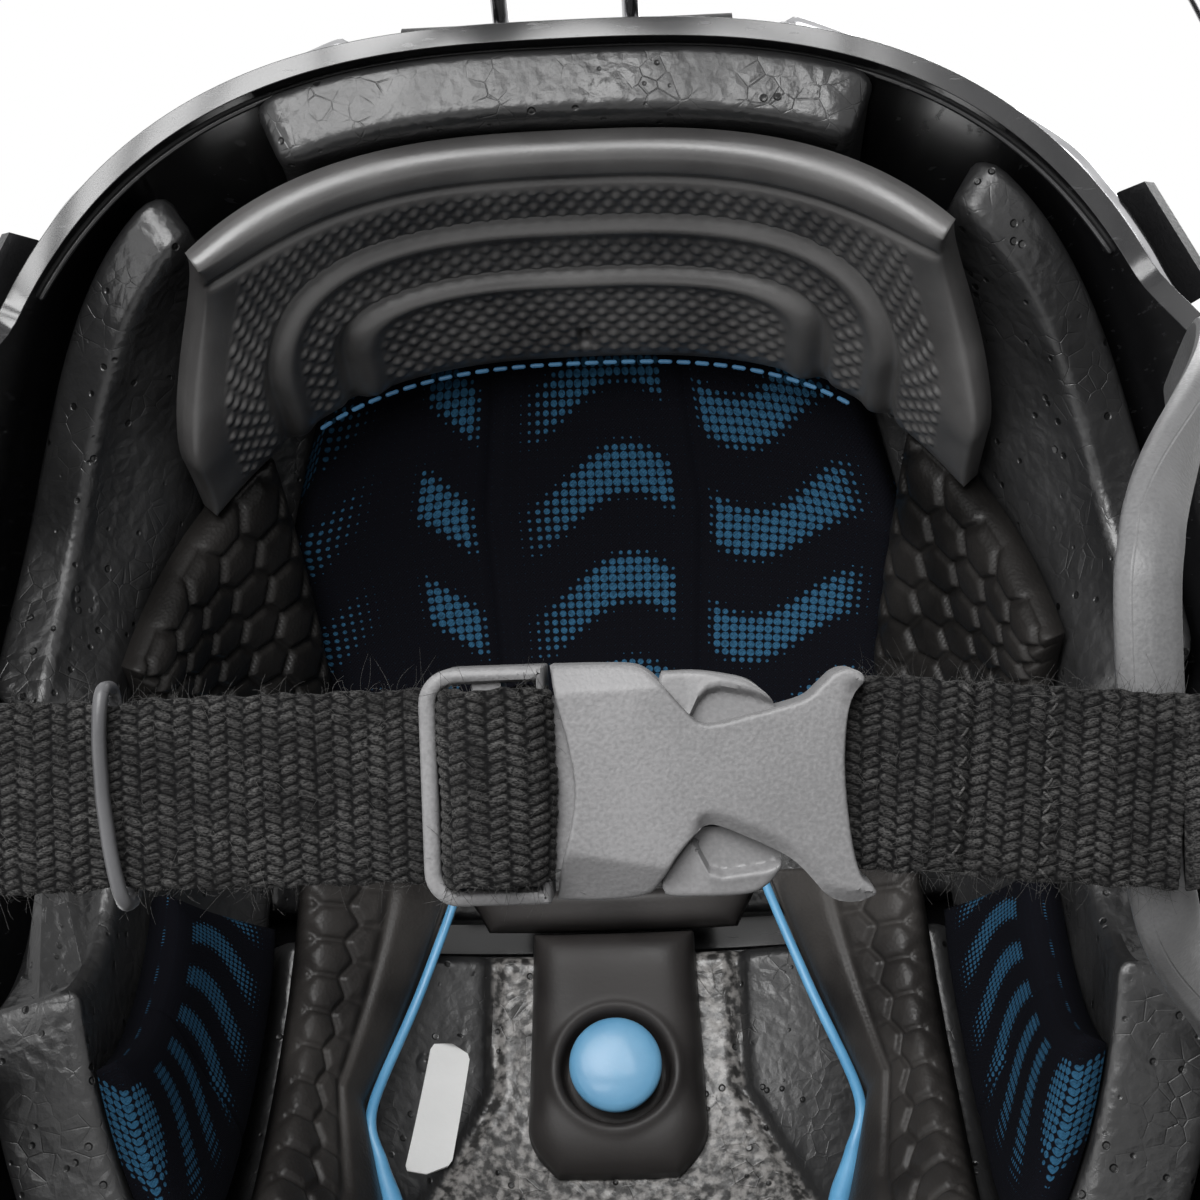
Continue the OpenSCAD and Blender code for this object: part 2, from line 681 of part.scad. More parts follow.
// The stretch that goes slack when the buckle is let out. It passes behind the ladder's first
// bar, up through the slot, over the middle bar and down again.
wrap_gap = 0.3;
module wrap_section() {
    x0 = strap_free_end + 0.1;
    b = ladder_bars;
    h = buckle_t / 2;
    under = web_t / 2;
    translate([ladder_x, 0]) difference() {
        polygon([[x0 - ladder_x, -under], [b[0] + wrap_gap, -under], [b[0] + wrap_gap, -h],
            [b[0] + 1.4, -h - 1.8], [(b[1] + b[2]) / 2 - 1, -h - 2.7], [(b[1] + b[2]) / 2 + 1, -h - 2.7],
            [b[3] - 0.6, -h - 1.8], [b[3] + 0.6, -h - wrap_gap], [b[3] - wrap_gap, -h - wrap_gap],
            [b[3] - wrap_gap, under], [x0 - ladder_x, under]]);
        translate([b[1] - wrap_gap, -h - wrap_gap])
            square([b[2] - b[1] + 2 * wrap_gap, h - under]);
    }
}

module strap_left_end() {
    color(pad_black) translate([0, strap_y + web_w / 2, strap_z]) rotate([90, 0, 0])
        linear_extrude(web_w) wrap_section();
}

module strap_anchors() {
    color(steel) for (side = [-1, 1])
        translate([side * (shell_x + web_t / 2 + 0.6), strap_y + 1 + (side > 0 ? strap_drift : 0), -28])
            rotate([0, side * 90, 0])
            button_screw(6.5, 2.4, 1, 0.1);
}

keeper_x = -44;
keeper_l = 3;
keeper_wall = 1.5;
module keeper_ring() {
    w = web_w + 0.8;
    t = web_t + 0.8;
    color(pad_black) translate([keeper_x - keeper_l / 2, strap_y, strap_z]) rotate([90, 0, 90])
        linear_extrude(keeper_l) difference() {
            square([w + 2 * keeper_wall, t + 2 * keeper_wall], center = true);
            square([w, t], center = true);
        }
}

// Buckle

// The female half: straight at its mouth, a neck between the thumb pads, and horns at its end
waist_from = 10;
waist_to = female_l - 7;
neck_half = 5.6;
horn_l = 2.1;
mouth_x = female_l - horn_l;
cavity_w = 19.6;
cavity_t = 4.6;
rear_bar = 3.4;
cavity_l = female_l - rear_bar - 2.6;
face_bevel = 1.1;
strap_slot = 2.4;

// One side of the outline, from the middle of the mouth's end round to the middle of the horns' end
function female_side() =
    let (h = buckle_w / 2, neck = (waist_from + waist_to) / 2 - 1.6)
    [[2.3, 0], [1.7, 4.6], [0.6, 8.6], [0.1, h - 0.1], [waist_from - 1.6, h],
     [waist_from + 0.6, h - 1], [waist_from + 2.1, h - 2.9], [neck - 1, neck_half + 1],
     [neck, neck_half + 0.15], [neck + 1.6, neck_half], [waist_to - 4, neck_half + 0.8],
     [waist_to - 1, neck_half + 1.6], [waist_to + 1.8, neck_half + 2.8], [waist_to + 3.4, h - 1.9],
     [waist_to + 4.8, h - 0.6], [female_l - 0.4, h - 0.2], [female_l - 0.2, h - 2.8],
     [female_l - 1.2, h - 5], [female_l - 1.8, h - 8.6], [female_l - 2, 0]];
function female_outline() =
    let (half = female_side(), last = len(half) - 1)
    concat(half, [for (i = [last - 1:-1:1]) [half[i][0], -half[i][1]]]);

// The outline's faces: fans at both ends and strips across between them
neck_start = 4;
neck_end = 12;
function female_faces(n) = concat(
    [for (i = [0:neck_start - 2]) [i, i + 1, neck_start]],
    [for (i = [0:neck_start - 2]) [n - neck_start, n - i - 1, (n - i) % n]],
    [[0, neck_start, n - neck_start]],
    [for (i = [neck_start:neck_end - 1]) [i, i + 1, n - i - 1, n - i]],
    [for (i = [neck_end + 1:n / 2 - 1]) [neck_end, i, i + 1]],
    [for (i = [neck_end + 1:n / 2 - 1]) [n - i - 1, n - i, n - neck_end]],
    [[neck_end, n / 2, n - neck_end]]);

// Points moved inwards along the mean of their two edges' normals
function moved_in(points, d) =
    let (n = len(points))
    [for (i = [0:n - 1]) let (a = points[(i + n - 1) % n], b = points[i], c = points[(i + 1) % n],
        u = unit(b - a), v = unit(c - b), m = unit([u[1] + v[1], -u[0] - v[0]])) b + m * d];

// A plate with its face edge bevelled: the outline at three heights
module bevelled_plate(outline, faces, low, high, bevel) {
    n = len(outline);
    inner = moved_in(outline, bevel);
    points = concat([for (p = inner) [p[0], p[1], low]], [for (p = outline) [p[0], p[1], low + bevel]],
        [for (p = outline) [p[0], p[1], high]]);
    walls = [for (k = [0, 1]) for (i = [0:n - 1]) let (a = k * n + i, b = k * n + (i + 1) % n)
        [a, b, b + n, a + n]];
    polyhedron(points, concat([for (f = faces) [for (i = [len(f) - 1:-1:0]) f[i]]], walls,
        [for (f = faces) [for (i = f) 2 * n + i]]), convexity = 6);
}

module buckle_female() {
    color(loop_grey) translate([female_x, strap_y, buckle_z]) difference() {
        bevelled_plate(female_outline(), female_faces(len(female_outline())), -buckle_t / 2,
            buckle_t / 2, face_bevel);
        translate([-1, -cavity_w / 2, -cavity_t / 2]) cube([cavity_l + 1, cavity_w, cavity_t]);
        translate([waist_from + 0.8, -buckle_w, -cavity_t / 2])
            cube([cavity_l - waist_from - 0.8, 2 * buckle_w, cavity_t]);
        translate([mouth_x, -web_w / 2 - 0.3, -web_t / 2 - 0.3])
            cube([horn_l + 1, web_w + 0.6, web_t + 0.6]);
        translate([cavity_l + 0.8, -neck_half - 1.5, 1.2]) cube([strap_slot, 2 * neck_half + 3, buckle_t]);
    }
}

// Where the ladder's first bar ends, its middle bar starts and ends, and its last bar starts
ladder_bars = [1.8, 5.4, 8.6, ladder_l - 1.8];
bar_depth = 1.4;
module buckle_ladder() {
    h = buckle_w / 2;
    b = ladder_bars;
    slot_w = web_w + 0.8;
    color(loop_grey) translate([ladder_x, strap_y, buckle_z]) {
        difference() {
            bevelled_plate([[0, -h + 3.4], [0, h - 3.4], [1, h - 1], [3.4, h], [ladder_l, h],
                [ladder_l, -h], [3.4, -h], [1, 1 - h]], [[for (i = [0:7]) i]],
                -buckle_t / 2, buckle_t / 2, 0.6);
            translate([b[0], -slot_w / 2, -buckle_t]) cube([b[1] - b[0], slot_w, 2 * buckle_t]);
            translate([b[2], -slot_w / 2, -buckle_t]) cube([b[3] - b[2], slot_w, 2 * buckle_t]);
            translate([-1, -slot_w / 2, -bar_depth]) cube([b[2] + 2, slot_w, buckle_t]);
        }
        translate([ladder_l - eps, -2, -cavity_t / 2 + 0.4]) cube([cavity_l - 4, 4, cavity_t - 0.8]);
    }
}

// Each prong is a spring arm with a thumb pad in the female half's waist
prong_t = 3.8;
prong_y = 7.2;
prong_root_r = 1.6;
prong_pivot_x = female_x + prong_root_r + 0.1;
pad_from = waist_from + 1.4;
pad_to = waist_to - 0.5;
dish = 0.7;
module prong_shape() {
    translate([prong_pivot_x - female_x, 0, -prong_t / 2]) cylinder(h = prong_t, r = prong_root_r);
    difference() {
        linear_extrude(prong_t, center = true) polygon([[0, -1.4], [pad_to, -1.1], [pad_to + 0.6, 0.4],
            [pad_to - 0.6, 2.4], [pad_to - 4, 4.1], [pad_from + 1.2, 4.6], [pad_from, 4.2],
            [pad_from, 2.2], [pad_from - 2, 1], [0, 1.4]]);
        translate([0, 0, -prong_t / 2 - 1]) linear_extrude(dish + 1)
            polygon([[pad_from + 2.6, 0.2], [pad_to - 1.6, 0.6], [pad_to - 4.4, 2.6],
                [pad_from + 3.6, 2.9]]);
    }
}

module buckle_prong_rear() {
    color(loop_grey) translate([female_x, strap_y + prong_y, buckle_z]) prong_shape();
}

module buckle_prong_front() {
    color(loop_grey) translate([female_x, strap_y - prong_y, buckle_z]) mirror([0, 1, 0])
        prong_shape();
}

front_shell();
rear_shell();
front_foam();
crown_foam();
side_foam_left();
side_foam_right();
rear_foam();
forehead_pad();
crown_pad();
temple_pad_left();
temple_pad_right();
ear_pad_left();
ear_pad_right();
rear_wing_left();
rear_wing_right();
rear_tab();
rear_disc();
rear_crossbar();
size_screws();
ear_loop_left();
ear_loop_right();
ear_loop_screws();
cage_pivot_wire();
cage_frame();
cage_cross_bars();
cage_uprights();
chin_cup();
pivot_clips();
pivot_clip_screws();
side_clip_left();
side_clip_right();
side_clip_screws();
strap_left();
strap_right();
strap_left_end();
strap_anchors();
keeper_ring();
buckle_female();
buckle_ladder();
buckle_prong_front();
buckle_prong_rear();
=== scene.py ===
import bpy
import bmesh
import json
import math
import numpy as np
from mathutils import Matrix, Vector
from mathutils.geometry import delaunay_2d_cdt


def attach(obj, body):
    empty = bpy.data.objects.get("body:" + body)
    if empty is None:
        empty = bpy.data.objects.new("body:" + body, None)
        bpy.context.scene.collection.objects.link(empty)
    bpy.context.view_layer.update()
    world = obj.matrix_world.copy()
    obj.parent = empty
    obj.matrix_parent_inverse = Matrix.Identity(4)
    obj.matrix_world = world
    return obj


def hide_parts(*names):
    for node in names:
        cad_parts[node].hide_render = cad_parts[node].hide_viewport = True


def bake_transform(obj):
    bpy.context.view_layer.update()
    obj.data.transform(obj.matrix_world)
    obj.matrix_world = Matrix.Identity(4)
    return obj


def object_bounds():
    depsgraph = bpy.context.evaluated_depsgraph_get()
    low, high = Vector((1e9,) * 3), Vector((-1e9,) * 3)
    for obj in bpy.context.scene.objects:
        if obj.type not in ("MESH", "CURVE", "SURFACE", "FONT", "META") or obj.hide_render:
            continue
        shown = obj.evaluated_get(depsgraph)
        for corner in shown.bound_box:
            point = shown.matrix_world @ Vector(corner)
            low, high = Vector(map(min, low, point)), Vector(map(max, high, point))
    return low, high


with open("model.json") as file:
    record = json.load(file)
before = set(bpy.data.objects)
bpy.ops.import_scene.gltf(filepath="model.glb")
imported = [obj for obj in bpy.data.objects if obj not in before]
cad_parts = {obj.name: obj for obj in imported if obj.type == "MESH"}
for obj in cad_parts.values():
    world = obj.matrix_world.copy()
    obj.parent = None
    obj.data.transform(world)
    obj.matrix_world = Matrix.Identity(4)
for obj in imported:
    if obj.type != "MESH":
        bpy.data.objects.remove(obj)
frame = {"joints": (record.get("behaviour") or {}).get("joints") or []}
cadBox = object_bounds()
mm = 0.001

# The dome that the shells and the liner follow, in millimetres
dome = {"halfWidth": 104, "halfLength": 127, "height": 112, "drop": 175, "middleY": 36,
        "frontPower": 2.8, "rearPower": 2.3, "power": 2.5}


def smooth(x):
    c = np.clip(x, 0, 1)
    return c * c * (3 - 2 * c)


def mix(a, b, share):
    return a + (b - a) * share


def hump(x, width):
    # 1 where x is 0, fading to 0 over about twice the width
    return np.exp(-(x / width) ** 2)


def unit(vectors):
    return vectors / np.linalg.norm(vectors, axis=-1, keepdims=True)


def domePoint(turn, tilt, inset):
    # turn runs from the brow over the crown to the nape, tilt from ear to ear, inset into the shell
    turn, tilt, inset = np.broadcast_arrays(np.radians(turn), np.radians(tilt), np.asarray(inset, float))
    ray = np.stack([np.sin(tilt), -np.cos(tilt) * np.cos(turn), np.cos(tilt) * np.sin(turn)], -1)
    power = np.where(ray[..., 1] < 0, dome["frontPower"], dome["rearPower"])
    plan = (np.abs(ray[..., 0]) / (dome["halfWidth"] - inset)) ** power
    plan = plan + (np.abs(ray[..., 1]) / (dome["halfLength"] - inset)) ** power
    high = np.where(ray[..., 2] > 0, dome["height"] - inset, dome["drop"])
    p = dome["power"]
    reach = (plan ** (p / power) + (np.abs(ray[..., 2]) / high) ** p) ** (-1 / p)
    return ray * reach[..., None] + np.array([0, dome["middleY"], 0])


def placed(name, mesh):
    thing = bpy.data.objects.new(name, mesh)
    bpy.context.scene.collection.objects.link(thing)
    return thing


def makeMesh(name, points, faces, uv=None, sharp=35):
    # points in millimetres; uv holds one pair for each point
    mesh = bpy.data.meshes.new(name)
    if isinstance(faces, np.ndarray):
        count, corners = faces.shape
        mesh.vertices.add(len(points))
        mesh.vertices.foreach_set("co", (np.asarray(points) * mm).astype(np.float32).ravel())
        mesh.loops.add(count * corners)
        mesh.loops.foreach_set("vertex_index", faces.ravel().astype(np.int32))
        mesh.polygons.add(count)
        mesh.polygons.foreach_set("loop_start", np.arange(0, count * corners, corners, dtype=np.int32))
        mesh.update(calc_edges=True)
        mesh.validate()
        if uv is not None:
            layer = mesh.uv_layers.new(name="flat")
            layer.data.foreach_set("uv", uv[faces.ravel()].astype(np.float32).ravel())
    else:
        mesh.from_pydata([tuple(p) for p in np.asarray(points) * mm], [], faces)
        mesh.update()
    mesh.polygons.foreach_set("use_smooth", [True] * len(mesh.polygons))
    if sharp:
        mesh.set_sharp_from_angle(angle=math.radians(sharp))
    return placed(name, mesh)


def turnOutward(thing):
    bm = bmesh.new()
    bm.from_mesh(thing.data)
    bmesh.ops.recalc_face_normals(bm, faces=bm.faces)
    bm.to_mesh(thing.data)
    bm.free()
    return thing


def slab(name, outer, inner, keep=None, uv=None, sharp=35, slide=0):
    # closed solid between two grids, with walls round its edge and round each cell left out;
    # slide moves the flat map across the thickness, so that a print isn't smeared on the walls
    rows, cols = outer.shape[0] - 1, outer.shape[1] - 1
    if keep is None:
        keep = np.ones((rows, cols), bool)
    n = outer.shape[0] * outer.shape[1]
    points = np.concatenate([outer.reshape(-1, 3), inner.reshape(-1, 3)])
    i, j = np.nonzero(keep)
    a = i * (cols + 1) + j
    front = np.stack([a, a + cols + 1, a + cols + 2, a + 1], 1)
    walls = []
    framed = np.zeros((rows + 2, cols + 2), bool)
    framed[1:-1, 1:-1] = keep
    square = ((0, 0), (1, 0), (1, 1), (0, 1), (0, 0))
    for (di, dj), start, end in zip(((0, -1), (1, 0), (0, 1), (-1, 0)), square, square[1:]):
        i, j = np.nonzero(keep & ~framed[1 + di:1 + di + rows, 1 + dj:1 + dj + cols])
        a = (i + start[0]) * (cols + 1) + j + start[1]
        b = (i + end[0]) * (cols + 1) + j + end[1]
        walls.append(np.stack([b, a, a + n, b + n], 1))
    faces = np.concatenate([front, front[:, ::-1] + n] + walls)
    both = None if uv is None else np.concatenate([uv.reshape(-1, 2), uv.reshape(-1, 2) + slide])
    return makeMesh(name, points, faces, both, sharp)


def ringSkin(name, rings, sharp, closed=False):
    # a skin over rings of points, capped at both ends or, closed, joined to its own first ring
    rows, n = rings.shape[:2]
    i, j = np.meshgrid(np.arange(rows if closed else rows - 1), np.arange(n), indexing="ij")
    after, beside = (i + 1) % rows, (j + 1) % n
    faces = np.stack([i * n + j, i * n + beside, after * n + beside, after * n + j], -1).reshape(-1, 4)
    if not closed:
        faces = faces.tolist() + [list(range(n))[::-1], list(range((rows - 1) * n, rows * n))]
    return makeMesh(name, rings.reshape(-1, 3), faces, sharp=sharp)


def tube(name, path, radius, sides=12, closed=False, flat=1.0, away=(0, 0, 1)):
    # a round or flattened wire along a path, with round ends when it is open
    path = np.asarray(path, float)
    if closed:
        along = np.roll(path, -1, 0) - np.roll(path, 1, 0)
    else:
        along = np.gradient(path, axis=0)
    along = unit(along)
    side = unit(np.cross(along, np.broadcast_to(np.asarray(away, float), path.shape)))
    up = np.cross(side, along)
    radii = np.broadcast_to(np.asarray(radius, float), (len(path),)).copy()
    centres = path
    if not closed:
        # two smaller rings stand for each round end: how far out they lie, and their size
        far, caps = np.array([0.93, 0.6]), np.array([0.35, 0.75])
        head = path[0] - along[0] * (radii[0] * far)[:, None]
        tail = path[-1] + along[-1] * (radii[-1] * far[::-1])[:, None]
        centres = np.concatenate([head, path, tail])
        radii = np.concatenate([radii[0] * caps, radii, radii[-1] * caps[::-1]])
        side, up = (np.concatenate([v[:1], v[:1], v, v[-1:], v[-1:]]) for v in (side, up))
    around = np.linspace(0, 2 * math.pi, sides, endpoint=False)[None, :, None]
    ring = np.cos(around) * side[:, None, :] + flat * np.sin(around) * up[:, None, :]
    rings = centres[:, None, :] + radii[:, None, None] * ring
    return ringSkin(name, rings, 0 if closed else 60, closed)


def throughPoints(points, steps):
    # smooth line through the points, with the same number of steps in each span
    p = np.asarray(points, float)
    p = np.concatenate([2 * p[:1] - p[1:2], p, 2 * p[-1:] - p[-2:-1]])
    u = np.linspace(0, 1, steps, endpoint=False)[:, None]
    spans = []
    for a, b, c, d in zip(p[:-3], p[1:-2], p[2:-1], p[3:]):
        bend = (2 * a - 5 * b + 4 * c - d) * u * u + (3 * b - a - 3 * c + d) * u ** 3
        spans.append(0.5 * (2 * b + (c - a) * u + bend))
    return np.concatenate(spans + [p[-2:-1]])


def joined(name, things):
    # several meshes as one object
    bm = bmesh.new()
    for thing in things:
        bm.from_mesh(thing.data)
        bpy.data.objects.remove(thing)
    mesh = bpy.data.meshes.new(name)
    bm.to_mesh(mesh)
    bm.free()
    return placed(name, mesh)


def flipped(name, thing):
    # the same piece on the other side of the head
    mesh = thing.data.copy()
    flat = np.empty(len(mesh.vertices) * 3, np.float32)
    mesh.vertices.foreach_get("co", flat)
    flat[::3] *= -1
    mesh.vertices.foreach_set("co", flat)
    mesh.flip_normals()
    return placed(name, mesh)


def bevelled(thing, width, steps=2, angle=40):
    bevel = thing.modifiers.new("bevel", "BEVEL")
    bevel.width = width * mm
    bevel.segments = steps
    bevel.limit_method = "ANGLE"
    bevel.angle_limit = math.radians(angle)
    bevel.harden_normals = True
    return thing


def fit(thing, surface, body, nodes=()):
    thing.data.materials.clear()
    thing.data.materials.append(surfaces[surface])
    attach(thing, body)
    if nodes:
        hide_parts(*nodes)
    return thing


def fitPair(thing, surface, body, node=None):
    # the left piece, named ...Left, and its mirror image
    other = flipped(thing.name.replace("Left", "Right"), thing)
    for piece, label in ((thing, "_left"), (other, "_right")):
        fit(piece, surface, body, [node + label] if node else ())


class Look:
    # a procedural material; its methods add a node and give back the socket it feeds from

    def __init__(self, name, colour, roughness, metallic=0.0, coat=0.0, sheen=0.0, specular=0.5):
        self.surface = bpy.data.materials.new(name)
        self.surface.use_nodes = True
        self.tree = self.surface.node_tree
        self.shader = self.tree.nodes["Principled BSDF"]
        for key, value in (("Base Color", (*colour, 1)), ("Roughness", roughness), ("Metallic", metallic),
                           ("Coat Weight", coat), ("Coat Roughness", 0.12), ("Sheen Weight", sheen),
                           ("Specular IOR Level", specular)):
            self.shader.inputs[key].default_value = value

    def join(self, source, target):
        # target is fed by a socket, or set to a number or a colour
        if isinstance(source, tuple):
            target.default_value = (*source, 1)
        elif isinstance(source, (int, float)):
            target.default_value = source
        else:
            self.tree.links.new(source, target)

    def feed(self, key, source):
        self.join(source, self.shader.inputs[key])

    def node(self, kind, *sources):
        node = self.tree.nodes.new("ShaderNode" + kind)
        for source, target in zip(sources, node.inputs):
            self.join(source, target)
        return node

    def calc(self, operation, *values):
        node = self.node("Math", *values)
        node.operation = operation
        return node.outputs[0]

    def times(self, a, b):
        return self.calc("MULTIPLY", a, b)

    def plus(self, a, b):
        return self.calc("ADD", a, b)

    def minus(self, a, b):
        return self.calc("SUBTRACT", a, b)

    def blend(self, a, b, c):
        # a times b plus c
        return self.calc("MULTIPLY_ADD", a, b, c)

    def wave(self, value, rate):
        return self.calc("SINE", self.times(value, rate))

    def spread(self, value, low, high, start=0.0, end=1.0):
        # value from low to high becomes start to end, eased
        node = self.node("MapRange", value, low, high, start, end)
        node.interpolation_type = "SMOOTHSTEP"
        return node.outputs[0]

    def place(self, scale=(1, 1, 1), flat=False):
        # the object's own coordinates, or its flattened ones, stretched
        node = self.node("Mapping", self.node("TexCoord").outputs["UV" if flat else "Object"])
        node.inputs["Scale"].default_value = scale
        return node.outputs["Vector"]

    def parts(self, vector):
        return self.node("SeparateXYZ", vector).outputs

    def mapShare(self):
        # what the piece's own map holds as its first coordinate
        return self.parts(self.node("UVMap").outputs["UV"])[0]

    def noise(self, vector, scale, detail=2.0):
        node = self.node("TexNoise", vector)
        node.inputs["Scale"].default_value = scale
        node.inputs["Detail"].default_value = detail
        return node.outputs["Fac"]

    def cells(self, vector, scale, feature="F1", randomness=1.0):
        node = self.node("TexVoronoi", vector)
        node.feature = feature
        node.inputs["Scale"].default_value = scale
        node.inputs["Randomness"].default_value = randomness
        return node.outputs["Distance"]

    def tint(self, share, dark, light):
        # a colour between two, by a share from 0 to 1
        node = self.node("Mix", share)
        node.data_type = "RGBA"
        self.join(dark, node.inputs[6])
        self.join(light, node.inputs[7])
        return node.outputs[2]

    def relief(self, height, depth, strength=1.0):
        # depth in millimetres
        node = self.node("Bump")
        node.inputs["Strength"].default_value = strength
        node.inputs["Distance"].default_value = depth * mm
        self.join(height, node.inputs["Height"])
        self.feed("Normal", node.outputs[0])

    def drifting(self, drift, dark, light, low, high, top=0.7):
        # colour and roughness that follow one slow noise
        self.feed("Base Color", self.tint(self.spread(drift, 0.3, top), dark, light))
        self.feed("Roughness", self.spread(drift, 0.3, 0.7, low, high))


def glossyShell():
    # black gloss: roughness drifts with broad noise and rises in small scuffs, over faint waviness
    black = (0.011, 0.011, 0.012)
    look = Look("glossyShell", black, 0.16, coat=0.4)
    at = look.place()
    broad = look.spread(look.noise(at, 14, 3), 0.35, 0.65, 0.11, 0.2)
    scuffs = look.spread(look.noise(look.place((1, 6, 1)), 160, 5), 0.62, 0.7)
    look.feed("Roughness", look.blend(scuffs, 0.12, broad))
    look.feed("Base Color", look.tint(scuffs, black, (0.03, 0.03, 0.032)))
    look.relief(look.noise(at, 90, 1), 0.05)
    return look.surface


def beadFoam(name, speckled=None):
    # moulded beads: low cells with thin sunk seams, a few pits painted near black as shade, and vents of
    # seven dots far apart; where the piece's own map says so, colour runs to a speckled pair
    dark, light, pitShade = (0.017, 0.017, 0.0175), (0.023, 0.023, 0.0235), (0.003, 0.003, 0.003)
    look = Look(name, dark, 0.3, specular=0.55)
    at = look.place()
    edge = look.cells(at, 300, "DISTANCE_TO_EDGE")
    disc = look.spread(look.cells(at, 34), 0.095, 0.125, 1, 0)
    dots = look.spread(look.cells(at, 560, randomness=0.25), 0.22, 0.42, 1, 0)
    holes = look.spread(look.cells(at, 270), 0.12, 0.2, 1, 0)
    pits = look.times(holes, look.spread(look.noise(at, 90), 0.44, 0.5))
    faint = look.spread(look.noise(at, 110, 2), 0.45, 0.75)
    seam = look.times(look.spread(edge, 0, 0.045, 1, 0), faint)
    height = look.times(look.spread(edge, 0, 0.4), 0.3)
    height = look.blend(seam, -0.35, height)
    height = look.blend(pits, -1.4, height)
    height = look.blend(look.noise(at, 230, 5), 1.5, height)
    sunk = look.blend(dots, 1.1, -0.3)
    mixer = look.node("Mix", disc)
    look.join(height, mixer.inputs[2])
    look.join(sunk, mixer.inputs[3])
    look.relief(mixer.outputs[0], 0.42, 0.6)
    drift = look.noise(at, 60, 4)
    colour = look.tint(look.spread(drift, 0.3, 0.7), dark, light)
    if speckled:
        flecks = look.spread(look.noise(at, 560, 5), 0.4, 0.66)
        colour = look.tint(look.mapShare(), colour, look.tint(flecks, *speckled))
    # painted shade: the pits turn near black
    look.feed("Base Color", look.tint(pits, colour, pitShade))
    look.feed("Roughness", look.spread(drift, 0.3, 0.7, 0.27, 0.42))
    return look.surface


def plainRubber(name, dark, light, roughness, grain, specular=0.3):
    # satin rubber: colour and roughness drift with noise, over a very fine grain
    look = Look(name, dark, roughness, specular=specular)
    at = look.place()
    look.drifting(look.noise(at, 60, 4), dark, light, roughness - 0.06, roughness + 0.08)
    look.relief(look.noise(at, grain, 3), 0.05, 0.6)
    return look.surface


def quiltedSkin(name, dark, light):
    # warm black skin: pebbled grain from small cells, worn a little lighter by noise
    look = Look(name, dark, 0.4, specular=0.2)
    at = look.place()
    look.drifting(look.noise(at, 45, 5), dark, light, 0.33, 0.5, top=0.75)
    look.relief(look.blend(look.noise(at, 500, 3), 0.5, look.cells(at, 1500)), 0.07, 0.6)
    return look.surface


def printedKnit():
    # black knit under a print: a dot in each small square, large where a wavy band passes;
    # the flat map is in millimetres; both colours are kept dark, a painted shade for the deep crown
    look = Look("printedKnit", (0.014, 0.014, 0.017), 0.9, specular=0.05)
    flat = look.place(flat=True)
    u, v = look.parts(flat)[:2]
    bend = look.times(look.wave(u, 0.145), 6)
    band = look.wave(look.plus(v, bend), 0.31)
    half = look.wave(look.minus(u, bend), 0.21)
    swell = look.times(look.spread(band, -0.5, 0.7), look.spread(half, -0.85, 0.2))
    dotsPerMm = 0.62
    du, dv = (look.minus(look.calc("FRACT", look.times(w, dotsPerMm)), 0.5) for w in (u, v))
    away = look.calc("SQRT", look.plus(look.times(du, du), look.times(dv, dv)))
    dot = look.spread(look.minus(away, look.times(swell, 0.46)), -0.06, 0.06, 1, 0)
    worn = look.times(dot, look.spread(look.noise(flat, 1.3, 3), 0.25, 0.6, 0.45, 1))
    # painted shade: the black and the blue print are both set dark
    look.feed("Base Color", look.tint(worn, (0.0045, 0.0047, 0.007), (0.03, 0.105, 0.19)))
    loops = look.times(look.wave(u, 9.5), look.wave(v, 9.5))
    look.relief(look.blend(loops, 0.5, look.noise(flat, 4, 2)), 0.12, 0.6)
    return look.surface


def spunYarn(name, dark, light, lumpShade=False):
    # matt yarn: fine streaks with paler fibres here and there; with lumpShade, the webbing's own map paints
    # shade between its lumps
    look = Look(name, dark, 0.9, sheen=0.03, specular=0.12)
    look.feed("Sheen Roughness", 0.5)
    fibres = look.noise(look.place((1, 3, 3)), 2300, 3)
    blotch = look.noise(look.place(), 260, 3)
    share = look.times(look.spread(fibres, 0.3, 0.72), look.spread(blotch, 0.3, 0.7, 0.45, 1))
    if lumpShade:
        # painted shade: darker between the weave's lumps, from the lump height on the map
        share = look.times(share, look.spread(look.mapShare(), 0.1, 0.75, 0.02, 1))
    look.feed("Base Color", look.tint(share, dark, light))
    look.relief(fibres, 0.16, 0.9)
    return look.surface


def grainedPlastic(name, dark, light, roughness, depth):
    # spark-eroded grain: fine noise pressed by finer cells, with a faint drift in colour
    look = Look(name, dark, roughness, specular=0.35)
    at = look.place()
    drift = look.noise(at, 70, 4)
    grain = look.noise(at, 2300, 2)
    share = look.blend(grain, 0.5, look.times(drift, 0.5))
    look.feed("Base Color", look.tint(look.spread(share, 0.3, 0.7), dark, light))
    look.feed("Roughness", look.spread(grain, 0.3, 0.7, roughness - 0.08, roughness + 0.08))
    look.relief(look.blend(look.cells(at, 1700), 0.5, grain), depth, 0.7)
    return look.surface


def brightWire():
    # polished steel: colour and roughness in cloudy patches from one noise
    look = Look("brightWire", (0.46, 0.46, 0.47), 0.18, metallic=1.0)
    look.drifting(look.noise(look.place(), 130, 4), (0.40, 0.40, 0.41), (0.52, 0.52, 0.53), 0.14, 0.28)
    return look.surface


def turnedSteel():
    # screw steel: fine turned lines from stretched noise, a little duller where they crowd
    look = Look("turnedSteel", (0.5, 0.5, 0.51), 0.3, metallic=1.0)
    lines = look.noise(look.place((1, 1, 8)), 700, 3)
    look.feed("Roughness", look.spread(lines, 0.3, 0.7, 0.22, 0.42))
    look.relief(lines, 0.03, 0.5)
    return look.surface


def bluePlastic(name, colour, pale, roughness, coat):
    # moulded blue: paler by broad noise, with tiny pits
    look = Look(name, colour, roughness, coat=coat)
    at = look.place()
    look.drifting(look.noise(at, 120, 4), colour, pale, roughness - 0.05, roughness + 0.08, top=0.75)
    look.relief(look.noise(at, 1200, 3), 0.04, 0.5)
    return look.surface


